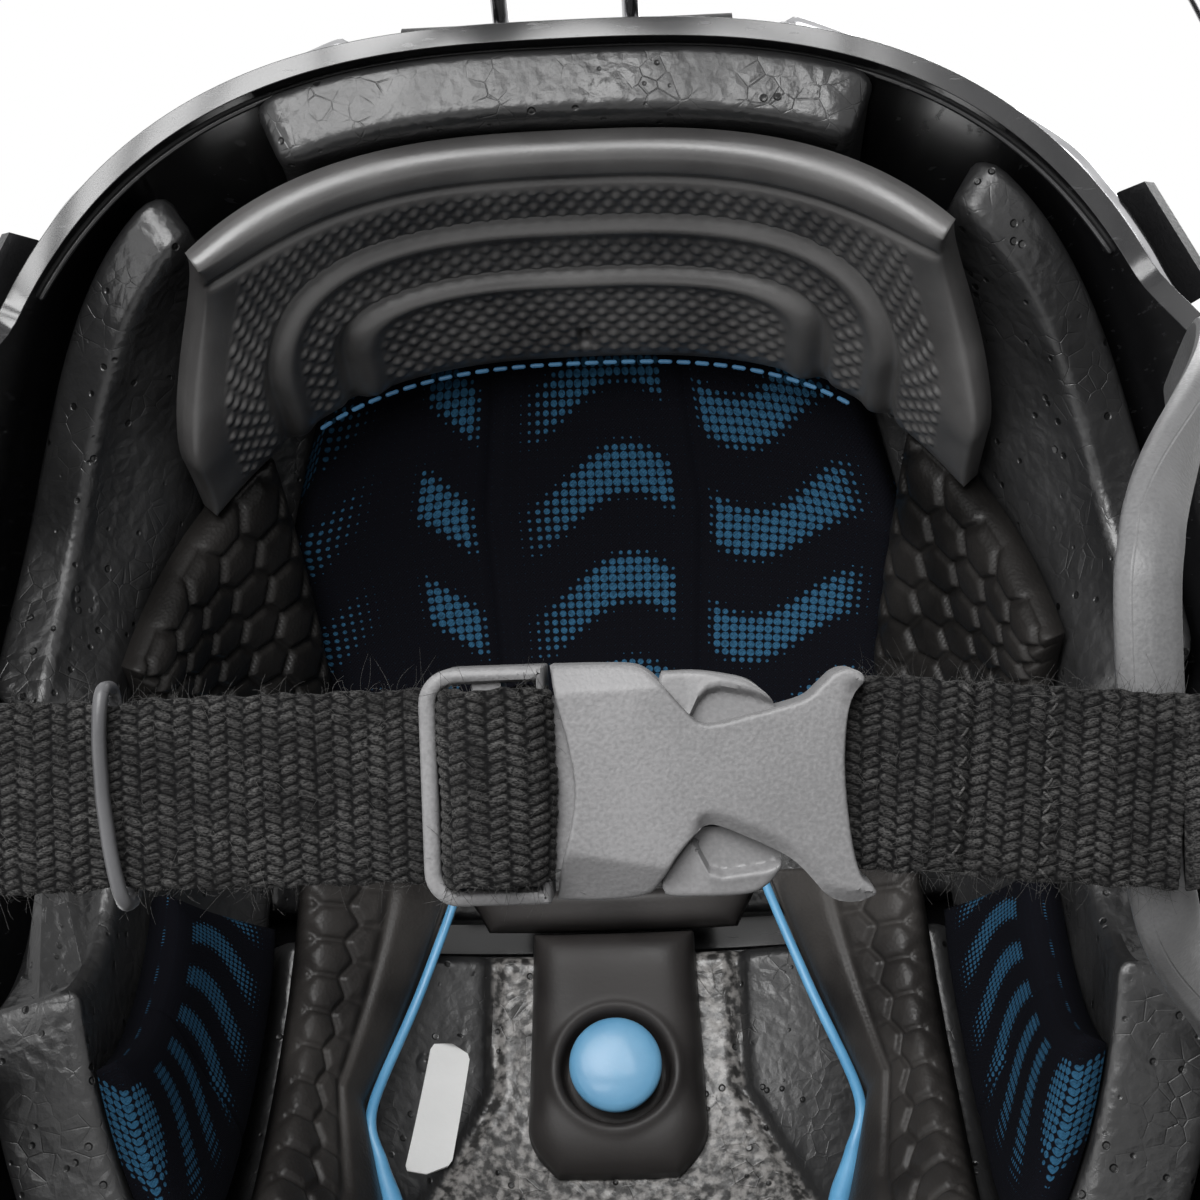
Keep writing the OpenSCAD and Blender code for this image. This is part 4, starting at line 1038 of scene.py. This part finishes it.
def reliefPlate(name, loop, low, high, shape, pitch=0.36):
    # solid plate with a shaped front: outline, rings close inside it and a grid, triangulated together
    x, u = np.meshgrid(np.arange(loop[:, 0].min(), loop[:, 0].max(), pitch),
                       np.arange(loop[:, 1].min(), loop[:, 1].max(), pitch))
    x = x + pitch / 2 * (np.arange(len(x)) % 2)[:, None]
    spare = np.stack([x.ravel(), u.ravel()], 1)
    spare = spare[nearEdge(spare, loop)[0] > 1.4]
    close = []
    for d in buckle["insets"]:
        ring = loop + inward(loop) * d
        close.append(ring[nearEdge(ring, loop)[0] > d * 0.97])
    flat = np.concatenate([loop] + close + [spare])
    border = list(range(len(loop)))
    found = delaunay_2d_cdt([Vector(p) for p in flat.tolist()], [], [border], 1, 1e-6)
    at = np.array([tuple(v) for v in found[0]])
    triangles = np.array([tuple(f) for f in found[2]])
    count = len(at)
    front = fromStrap(at[:, 0], at[:, 1], low + shape(at[:, 0], at[:, 1], *nearEdge(at, loop)))
    rear = fromStrap(at[:, 0], at[:, 1], high)
    # an edge that only one triangle has lies on the border and gets a wall
    sides = np.stack([triangles, np.roll(triangles, -1, 1)], -1).reshape(-1, 2).tolist()
    uses = {}
    for side in sides:
        uses[tuple(sorted(side))] = uses.get(tuple(sorted(side)), 0) + 1
    lists = triangles.tolist() + (triangles[:, ::-1] + count).tolist()
    lists += [(q, p, p + count, q + count) for p, q in sides if uses[tuple(sorted((p, q)))] == 1]
    return turnOutward(makeMesh(name, np.concatenate([front, rear]), lists, sharp=38))


def rounded(far, radius):
    # how far an edge rounded by a quarter circle falls back
    inside = np.clip(1 - far / radius, 0, 1)
    return radius * (1 - np.sqrt(1 - inside ** 2))


def block(name, loop, deep):
    # a flat plate of an outline, as deep on either side of the strap's middle
    rings = np.array([fromStrap(loop[:, 0], loop[:, 1], d) for d in (deep, -deep)])
    return turnOutward(ringSkin(name, rings, 32))


def outlineOf(*chains):
    # smooth chains of (x, up) points that meet at corners
    return np.concatenate([throughPoints([(a, b, 0) for a, b in chain], 6)[:-1, :2] for chain in chains])


femaleSides = [(0.2, 12.1), (4.5, 12.05), (8.4, 11.85), (10.2, 11.1), (11.8, 9.5), (14.3, 6.6), (15.5, 5.75),
               (17.2, 5.7), (20.4, 6.4), (23.5, 7.1), (26.2, 7.9), (27.8, 9.2), (29.2, 10.4), (30.6, 10.75),
               (31.8, 10.3), (32.1, 9.4), (31.0, 8.1), (30.3, 5.9), (29.85, 1.5), (29.95, -3), (30.4, -7.4),
               (31.1, -10.2), (32.3, -11.4), (32.4, -12.2), (31, -12.9), (29.2, -12.9), (27.6, -12.1),
               (26.4, -10.7), (25.1, -9.2), (23.5, -7.9), (20.4, -6.3), (17.2, -4.9), (15.7, -4.7),
               (14.6, -5.4), (12.5, -7.8), (10.9, -10.2), (9.2, -11.8), (4.5, -12.35), (0.0, -12.2)]
femaleMouth = [(0.0, -12.2), (0.7, -8.6), (1.8, -4.6), (2.4, -0.4), (1.8, 4.2), (0.75, 8.6), (0.2, 12.1)]


def femaleFront(x, u, far, outward):
    # two broad facets at the left, a wider bevel along the low edge at the right, small round edges
    # elsewhere, on a faint crown
    facetHigh = 0.5 * np.clip(u - 9.35 - 0.02 * x, 0, 9) * (1 - smooth((x - 10.5) / 2))
    facetLow = 0.62 * np.clip(-7.0 - 0.17 * (x - 1.2) - u, 0, 9) * (1 - smooth((x - 11.2) / 1.6))
    below = np.clip(-outward[:, 1], 0, 1) * smooth((x - 13) / 2.5)
    bevel = (0.75 + 0.1 * below) * np.clip(0.62 + 0.85 * below - far, 0, 9) * below
    return 0.012 * (u / 3) ** 2 + facetHigh + facetLow + np.maximum(rounded(far, 0.42), bevel)


buckleFemale = reliefPlate("buckleFemale", outlineOf(femaleSides, femaleMouth), -buckle["half"],
                           buckle["half"], femaleFront)
fit(buckleFemale, "buckle", "helmet", ["buckle_female"])


def roundedBox(left, right, half, radii, n=8):
    # outline of a rectangle with one radius for its two left corners and one for its right ones
    points = []
    corners = ((left, -half), (left, half), (right, half), (right, -half))
    for (cx, cy), start in zip(corners, (270, 180, 90, 0)):
        r = radii[0] if cx == left else radii[1]
        mx, my = cx + r * (1 if cx == left else -1), cy + r * (1 if cy < 0 else -1)
        for k in range(n + 1):
            a = math.radians(start - 90 * k / n)
            points.append((mx + r * math.cos(a), my + r * math.sin(a)))
    return np.array(points)


def frameRing(name, outerLoop, innerLoop, low, high, soft):
    # a flat ring with softened edges, from its two outlines; its right bar is sunk into the plug
    nOut, nIn = inward(outerLoop), inward(innerLoop)
    eased = ((1, 0), (0.45, 0.12), (0.12, 0.45), (0, 1))
    loops = [(outerLoop + nOut * soft * share, low + soft * down) for share, down in eased]
    loops += [(outerLoop, high - 0.4), (outerLoop + nOut * 0.4, high)]
    loops += [(innerLoop - nIn * 0.4, high), (innerLoop, high - 0.4)]
    loops += [(innerLoop - nIn * soft * share, low + soft * down) for share, down in eased[::-1]]
    rings = []
    for loop, depth in loops:
        sunk = 2.4 * smooth((loop[:, 0] + 3.2) / 1.6) * smooth((10.9 - np.abs(loop[:, 1])) / 0.9)
        rings.append(fromStrap(loop[:, 0], loop[:, 1], depth + sunk * (depth < 3)))
    return turnOutward(ringSkin(name, np.array(rings), 50, closed=True))


ladderRing = frameRing("ladderRing", roundedBox(-13.3, -0.35, 12.15, (3.6, 0.3)),
                       roundedBox(-11.5, -1.5, 10.5, (2.0, 0.3)), -buckle["half"], 3.9, 0.75)
plug = block("plug", roundedBox(-1.6, 3.4, 8.8, (0.2, 1.2)), 2.3)
bar = block("bar", roundedBox(-7.8, -4.8, 10.6, (0.2, 0.2)), 3.2)
tongue = block("tongue", roundedBox(-0.6, 21.2, 1.9, (0.2, 1.4)), 1.8)
buckleLadder = bevelled(joined("buckleLadder", [ladderRing, plug, bar, tongue]), 0.3, 2, 60)
fit(buckleLadder, "buckle", "buckle_male", ["buckle_ladder"])


def thumbPad(name, outline, line, side, body, node):
    # a pad with a dished thumb rest under the line, and its spring arm
    def dish(x, u, far, outward):
        up = u * side
        rest = np.interp(x, [p[0] for p in line], [p[1] for p in line])
        gap = np.minimum((rest - up), (x - line[0][0]) * 1.2)
        inside = smooth((gap + 0.25) / 0.8)
        edges = rounded(far, 0.5) * (1 - inside) - 0.12 * hump(gap + 0.55, 0.32)
        return 1.05 * inside + edges + 0.12 * np.clip(up - rest - 0.8, 0, 4)

    pad = reliefPlate(name, outlineOf(outline + outline[:1]), -2.35, 1.9, dish, 0.22)
    root = np.array([(0.2, 5.8), (0.2, 8.5), (9.4, 8.3), (12.2, 8.9), (12.6, 5.9)])
    arm = block("arm", root * (1, side), 1.7)
    fit(joined(name, [pad, arm]), "smoothBuckle", body, [node])


thumbPad("prongFront",
         [(11.6, 11.0), (14.9, 11.0), (17.7, 10.6), (20.1, 10.0), (21.6, 9.0), (22.9, 7.6), (22.7, 6.2),
          (20, 5.4), (15, 5.1), (12.6, 5.9), (11.3, 8.2), (11.2, 9.9)],
         [(14.3, 6), (14.6, 6.7), (15.2, 8.0), (16.2, 8.95), (17.6, 9.25), (21, 8.55), (23.6, 7.35)],
         1, "prong_front", "buckle_prong_front")
thumbPad("prongRear",
         [(11.2, -11.8), (10.8, -10.6), (11.3, -9.3), (12.4, -7.9), (13.6, -6.3), (15, -5.1), (20, -5.4),
          (22.7, -6.6), (23.2, -8.7), (22.9, -9.7), (21.5, -11.2), (19.5, -12.0), (15, -12.15),
          (12.2, -12.1)],
         [(14.0, 6), (14.5, 6.8), (15.0, 8.0), (15.8, 9.5), (17.2, 9.9), (21.6, 9.4), (23.6, 8.7)],
         -1, "prong_rear", "buckle_prong_rear")
print("buckle made")

# Ear loops

loopPath = [(91.5, -25, -8), (89.5, -31, -30), (81, -25, -62), (68, -10, -90), (64.8, -3, -96.8),
            (64, 3, -98), (64, 15, -98), (64, 27, -98), (64.8, 33, -96.8), (68, 40, -90), (80, 56, -62),
            (90, 68, -30), (94.5, 71, -10)]


def sweptBar(name, path, section, away):
    # a bar whose outline is given at each share of the path, its thickness pointing along away
    path = np.asarray(path, float)
    along = unit(np.gradient(path, axis=0))
    rings = []
    for p, t, share in zip(path, along, np.linspace(0, 1, len(path))):
        a = np.asarray(away(p), float)
        a = unit(a - t * (a @ t))
        shape = np.array(section(share))
        rings.append(p + shape[:, :1] * np.cross(t, a) + shape[:, 1:] * a)
    return turnOutward(ringSkin(name, np.array(rings), 24))


def loopSection(share):
    # a broad bevel on the inner side under the parting line, then a face that falls off from a soft
    # crease; the bar is narrowest in its middle
    a = mix(5.5, 3.5, smooth(share / 0.3)) + 0.75 * smooth((share - 0.7) / 0.3)
    return [(-a, 0.4), (-a, -0.25), (-a + 0.12, -0.6), (-a + 0.4, -0.95), (-a + 1.25, -1.62),
            (-a + 1.42, -1.66), (-a + 1.55, -1.82), (-a + 2.1, -1.95), (-0.4, -2.02), (0.0, -2.03),
            (0.4, -1.98), (a - 1.4, -1.55), (a - 0.6, -1.15), (a - 0.2, -0.75), (a, -0.2), (a, 0.6),
            (a - 0.3, 1.3), (a - 1, 1.75), (a - 1.8, 1.9), (-a + 1.8, 1.9), (-a + 1, 1.75), (-a + 0.3, 1.2)]


def loopAway(p):
    share = smooth((p[2] + 98) / 34)
    return -share, 0, 1.05 - share


loop = sweptBar("loop", throughPoints(loopPath, 12), loopSection, loopAway)
gate = sweptBar("gate", np.linspace((61.05, 12, -99.35), (61.05, 16.4, -99.35), 5),
                lambda share: [(-0.55, 0.3), (-0.55, -0.12), (0.5, -0.22), (0.6, 0.3)], lambda p: (0.5, 0, 1))
earLoopLeft = joined("earLoopLeft", [loop, gate])
earLoopRight = flipped("earLoopRight.001", earLoopLeft)
fit(earLoopLeft, "loops", "helmet", ["ear_loop_left"])
fit(earLoopRight, "loops", "helmet", ["ear_loop_right"])

# Enamelled size disc, a turned shape on the rear tab

discProfile = [(8.6, 0.0), (9.0, 0.3), (9.0, 1.1), (8.85, 1.5), (8.4, 1.95), (7.6, 2.3), (6, 2.65),
               (3, 2.95), (0.05, 3.0)]


def turned(name, base, axis, profile, sides=64):
    # a round piece from its (radius, height) profile; the height runs along axis
    across = unit(np.cross(axis, (1.0, 0.2, 0.1)))
    third = np.cross(axis, across)
    a = np.linspace(0, 2 * math.pi, sides, endpoint=False)[None, :, None]
    r, h = (np.array([p[k] for p in profile])[:, None, None] for k in (0, 1))
    rings = base + r * (np.cos(a) * across + np.sin(a) * third) + h * axis
    return turnOutward(ringSkin(name, rings, 40))


discAt = domePoint(tab["disc"], 0, rearTop + 0.5)
discAlong = domePoint(tab["disc"] + 1, 0, rearTop + 0.5) - domePoint(tab["disc"] - 1, 0, rearTop + 0.5)
discInwards = unit(np.array([0, -discAlong[2], discAlong[1]]))
if discInwards @ (discAt - np.array([0, dome["middleY"], 0])) > 0:
    discInwards = -discInwards
fit(turned("rearDisc", discAt, discInwards, discProfile), "disc", "rear_half", ["rear_disc"])
print("ear loops and disc made")

# Cage wires, on the lines of the CAD cage

hinge = next(j for j in frame["joints"] if j["name"] == "cage_pivot")
pivotY, pivotZ = hinge["pos_m"][1] * 1000, hinge["pos_m"][2] * 1000
cage = {"pivotHalf": 36, "wire": 1.6, "bar": 1.5, "off": 4.9, "weld": 0.15, "power": 2.4,
        "middle": (0, -40, -40), "uprights": (11, 33, 55)}
side0, front0 = dome["halfWidth"], dome["middleY"] - dome["halfLength"]
# A cross bar's height, half width, and where its ends and its middle lie along Y
levels = [(-28, side0 - 3.5, front0 + 58, front0 - 35), (-48, side0 - 5.5, front0 + 53, front0 - 45),
          (-68, side0 - 11, front0 + 41, front0 - 49.5), (-88, side0 - 21, front0 + 21, front0 - 49)]
bottom = [(side0 - 40, front0 - 6, -104), (side0 - 66, front0 - 30, -115), (0, front0 - 40, -119)]
browLine = [(10.5, 27), (9.5, 36), (10, 41), (10.7, 45), (11.4, 48), (10.6, 51), (5, 54.5), (-2, 57.5)]
half = [(cage["pivotHalf"] + out, pivotY, pivotZ) for out in (cage["weld"], 2, 5)]
half += [tuple(domePoint(turn, tilt, -cage["off"])) for turn, tilt in browLine]
half += [(w, back, z) for z, w, back, _ in levels] + bottom
framePath = throughPoints(half + [(-p[0], p[1], p[2]) for p in half[-2::-1]], 8)


def barY(level, x):
    _, w, back, ahead = level
    return mix(back, ahead, (1 - np.minimum(1, np.abs(x) / w) ** cage["power"]) ** (1 / cage["power"]))


def uprightY(level, x):
    # an upright lies in front of the bars, a little further where they slant
    lean = (barY(level, x + 1) - barY(level, x - 1)) / 2
    return barY(level, x) - (2 * cage["bar"] + cage["weld"]) * math.sqrt(1 + lean * lean)


pivotWire = tube("pivotWire", np.linspace((-cage["pivotHalf"], pivotY, pivotZ),
                                          (cage["pivotHalf"], pivotY, pivotZ), 24), cage["wire"], 20)
fit(pivotWire, "wire", "cage", ["cage_pivot_wire"])
cageFrame = tube("cageFrame", framePath, cage["wire"], 20, away=framePath - np.array(cage["middle"]))
fit(cageFrame, "wire", "cage", ["cage_frame"])
bars = []
angle = np.linspace(0, math.pi, 180)
for z, w, back, ahead in levels:
    # each bar runs round to the frame wire on both sides
    x = -w * np.sign(np.cos(angle)) * np.abs(np.cos(angle)) ** (2 / cage["power"])
    line = np.stack([x, mix(back, ahead, np.sin(angle) ** (2 / cage["power"])), np.full(len(x), float(z))], 1)
    clear = np.linalg.norm(np.abs(line[:, :2]) - np.abs([w, back]), axis=1) > cage["wire"]
    bars.append(tube("bar", line[clear], cage["bar"], 18))
fit(joined("cageCrossBars", bars), "wire", "cage", ["cage_cross_bars"])

# Uprights end on the frame wire below, and the middle ones on the pivot wire above
low = np.array(sorted(tuple(p) for p in framePath if p[2] < levels[3][0] and p[0] >= -1))
onWire = cage["wire"] + cage["bar"] + 0.1
uprights = []
for x in cage["uprights"]:
    if x == cage["uprights"][0]:
        line = [(x, pivotY - onWire, pivotZ - 0.5), (x, (pivotY + barY(levels[0], x)) / 2 - 6, 0)]
    else:
        line = [(x, uprightY(levels[0], x), levels[0][0] + 3)]
    line += [(x, uprightY(level, x), level[0]) for level in levels]
    line.append((x, np.interp(x, low[:, 0], low[:, 1]) - onWire, np.interp(x, low[:, 0], low[:, 2]) - 0.5))
    for side in (1, -1):
        uprights.append(tube("upright", throughPoints(np.array(line) * (side, 1, 1), 12), cage["bar"], 18,
                             away=(1, 0, 0)))
fit(joined("cageUprights", uprights), "wire", "cage", ["cage_uprights"])

# Chin cup inside the lowest bars: part of a ball, stretched, with drawn-down corners and a groove
cupRadius = 34
cupMiddle = np.array([0, levels[3][3] + cage["bar"] + 0.3 + cupRadius, levels[3][0]])
s, t = np.meshgrid(np.linspace(0, 1, 44), np.linspace(0, 1, 80), indexing="ij")
a, b = np.radians(mix(58, -58, t)), np.radians(mix(-8, 52, s))
ball = np.stack([np.sin(a) * np.cos(b) * 1.15, -np.cos(a) * np.cos(b), -np.sin(b) * 0.85], -1)
corner = ((np.abs(t - 0.5) * 2) ** 6 * (0.5 - s) * 9)[..., None] * np.array([0, 0, 1])
groove = 0.5 * hump(s - 0.5, 0.05)[..., None] * ball
chinCup = slab("chinCup", cupMiddle + cupRadius * ball - corner - groove,
               cupMiddle + (cupRadius - 3.5) * ball - corner)
fit(bevelled(turnOutward(chinCup), 1.1, 4, 50), "cup", "cage", ["chin_cup"])

# Small hardware keeps the CAD shapes
for surface, nodes in (("steel", ("size_screws", "ear_loop_screws", "pivot_clip_screws", "side_clip_screws",
                                  "strap_anchors")),
                       ("clip", ("pivot_clips", "side_clip_left", "side_clip_right"))):
    for node in nodes:
        kept = bpy.data.objects[node]
        kept.data.materials.clear()
        kept.data.materials.append(surfaces[surface])
print("cage and hardware made")

# Blue trim and a blank label


def domeLine(stops, steps):
    # smooth line over the dome through stops of turn, tilt and inset
    return domePoint(*throughPoints(stops, steps).T)


wingStops = [(104, 20.1), (118, 24.3), (134, 28.7), (141, 26.7), (148, 23.9), (158, 23.3), (167, 23.1)]
ribbon = domeLine([(turn, tilt, rearTop - 3.1) for turn, tilt in wingStops], 12)
width = np.interp(np.linspace(0, 1, len(ribbon)), [0, 0.45, 0.6, 1], [0.9, 1.1, 1.9, 2.1])
rearPiping = tube("rearPipingLeft", ribbon, width, 16, flat=0.75, away=(0, 0.6, 0.8))
fitPair(rearPiping, "piping", "rear_half")
tip = domeLine([(82, 62, 30.2), (80, 56, 30.4), (78.5, 49, 30.5), (78.5, 45.5, 30.5), (80.5, 43.2, 30.5),
                (84, 41.6, 30)], 10)
fitPair(tube("templePipingLeft", tip, np.linspace(1.0, 0.8, len(tip)), 14), "piping", "helmet")

# Short stitches of blue thread along the forehead pad's deep edge
dashes = []
for start in np.arange(30) * 0.022 + 0.17:
    t = np.linspace(start, start + 0.012, 5)
    turn, tilt = browPlace(0.985, t)
    line = domePoint(turn, tilt, browFace(0.985, t) + pads["thick"] - 1.0)
    dashes.append(tube("dash", line, 0.4, 8, flat=0.6))
fit(joined("browStitches", dashes), "thread", "helmet")

# The label is blank, a patch between four corners given by turn and tilt, its ends rounded
labelCorners = np.array([[(123.5, -17.0), (122.5, -21.6)], [(137.5, -18.2), (139.5, -23.3)]])
s, t = np.meshgrid(np.linspace(0, 1, 25), np.linspace(0, 1, 13), indexing="ij")
drawn = np.clip(np.abs(2 * s - 1) * 6 - 5, 0, 1)
edgeIn = 0.5 * (1 - np.sqrt(1 - drawn ** 2))
s, t = s[..., None], mix(edgeIn, 1 - edgeIn, t)[..., None]
spot = mix(mix(labelCorners[0, 0], labelCorners[0, 1], t), mix(labelCorners[1, 0], labelCorners[1, 1], t), s)
label = slab("blankLabel", *(domePoint(spot[..., 0], spot[..., 1], foamDeep + 1 + up) for up in (0.25, -0.3)))
fit(turnOutward(label), "paper", "rear_half")

# The rear foam's map says where its beads are speckled: between the two channels
corners = np.empty(len(rearFoam.data.vertices) * 3, np.float32)
rearFoam.data.vertices.foreach_get("co", corners)
at = unit(corners.reshape(-1, 3) * 1000 - np.array([0, dome["middleY"], 0]))
tilt = np.degrees(np.arcsin(at[:, 0]))
turn = np.degrees(np.arctan2(at[:, 2], -at[:, 1])) % 360
share = smooth((channelLine(turn) - np.abs(tilt)) / 0.8 + 0.5)
used = np.empty(len(rearFoam.data.loops), np.int32)
rearFoam.data.loops.foreach_get("vertex_index", used)
layer = rearFoam.data.uv_layers.new(name="flat")
layer.data.foreach_set("uv", np.stack([share[used], tilt[used] / 90], 1).astype(np.float32).ravel())
print("trim made")

# Camera at the photograph's viewing angle: under the helmet, looking up into it

view = {"place": (15, 0, -300), "lens": 57.6, "yaw": 2.27, "roll": 2.1}


def addCamera():
    # yaw turns the view towards -X, roll lifts the helmet's +X side in the picture
    yaw, roll = math.radians(view["yaw"]), math.radians(view["roll"])
    right = Vector((math.cos(yaw), 0, math.sin(yaw)))
    up = Vector((0, -1, 0))
    ahead = Vector((-math.sin(yaw), 0, math.cos(yaw)))
    across = right * math.cos(roll) - up * math.sin(roll)
    above = up * math.cos(roll) + right * math.sin(roll)
    data = bpy.data.cameras.new("camera")
    data.lens = view["lens"]
    data.sensor_width = 36
    data.clip_start = 0.01
    camera = placed("camera", data)
    turning = Matrix((across, above, -ahead)).transposed().to_4x4()
    camera.matrix_world = Matrix.Translation(Vector(view["place"]) * mm) @ turning
    bpy.context.scene.camera = camera


# Soft boxes: place and aim in metres, size in metres, power in watts
lamps = {"brow": ((-0.1, -0.25, -0.44), (0, 0, 0), 0.36, 4.4),
         "side": ((-0.5, 0.1, -0.35), (0, 0.02, 0), 0.5, 1.3),
         "top": ((0.4, -0.5, 0.75), (0, 0.03, 0), 0.6, 6.5),
         "back": ((-0.5, 0.6, 0.5), (0, 0.03, 0), 0.6, 5)}


def addLights():
    # the world is white where it is seen, mirrored or seen through, and lights little
    world = bpy.data.worlds.new("world")
    bpy.context.scene.world = world
    world.use_nodes = True
    tree = world.node_tree
    tree.nodes.clear()
    out, sky, path, scaled = (tree.nodes.new("ShaderNode" + kind)
                              for kind in ("OutputWorld", "Background", "LightPath", "Math"))
    sky.inputs["Color"].default_value = (1, 1, 1, 1)
    seen = path.outputs["Is Camera Ray"]
    for ray in ("Is Transmission Ray", "Is Glossy Ray"):
        either = tree.nodes.new("ShaderNodeMath")
        either.operation = "MAXIMUM"
        tree.links.new(seen, either.inputs[0])
        tree.links.new(path.outputs[ray], either.inputs[1])
        seen = either.outputs[0]
    scaled.operation = "MULTIPLY_ADD"
    tree.links.new(seen, scaled.inputs[0])
    scaled.inputs[1].default_value = 0.93
    scaled.inputs[2].default_value = 0.07
    tree.links.new(scaled.outputs[0], sky.inputs["Strength"])
    tree.links.new(sky.outputs[0], out.inputs[0])
    for name, (at, aim, size, power) in lamps.items():
        lamp = bpy.data.lights.new(name, "AREA")
        lamp.size = size
        lamp.energy = power
        holder = placed(name, lamp)
        holder.location = at
        holder.rotation_euler = (Vector(aim) - Vector(at)).to_track_quat("-Z", "Y").to_euler()


def addFloor():
    # a pale floor under the helmet, which shows from above only and takes the shadow
    mesh = bpy.data.meshes.new("floor")
    low, wide = cadBox[0][2] - 0.004, 1.5
    corners = [(-wide, -wide, low), (wide, -wide, low), (wide, wide, low), (-wide, wide, low)]
    mesh.from_pydata(corners, [], [(0, 1, 2, 3)])
    floor = placed("floor", mesh)
    surface = bpy.data.materials.new("paleFloor")
    surface.use_nodes = True
    tree = surface.node_tree
    tree.nodes.clear()
    out, lit, glow, pale, clear, side, blend = (
        tree.nodes.new("ShaderNode" + kind)
        for kind in ("OutputMaterial", "BsdfDiffuse", "Emission", "AddShader", "BsdfTransparent",
                     "NewGeometry", "MixShader"))
    lit.inputs["Color"].default_value = (0.62, 0.62, 0.62, 1)
    glow.inputs["Color"].default_value = (1, 1, 1, 1)
    glow.inputs["Strength"].default_value = 0.42
    for source, target in ((lit.outputs[0], pale.inputs[0]), (glow.outputs[0], pale.inputs[1]),
                           (side.outputs["Backfacing"], blend.inputs[0]), (pale.outputs[0], blend.inputs[1]),
                           (clear.outputs[0], blend.inputs[2]), (blend.outputs[0], out.inputs[0])):
        tree.links.new(source, target)
    mesh.materials.append(surface)
    floor.visible_diffuse = False
    floor.visible_glossy = False
    floor.visible_shadow = False


addCamera()
addLights()
addFloor()
bpy.context.scene.view_settings.view_transform = "Standard"
print("camera and lights set")
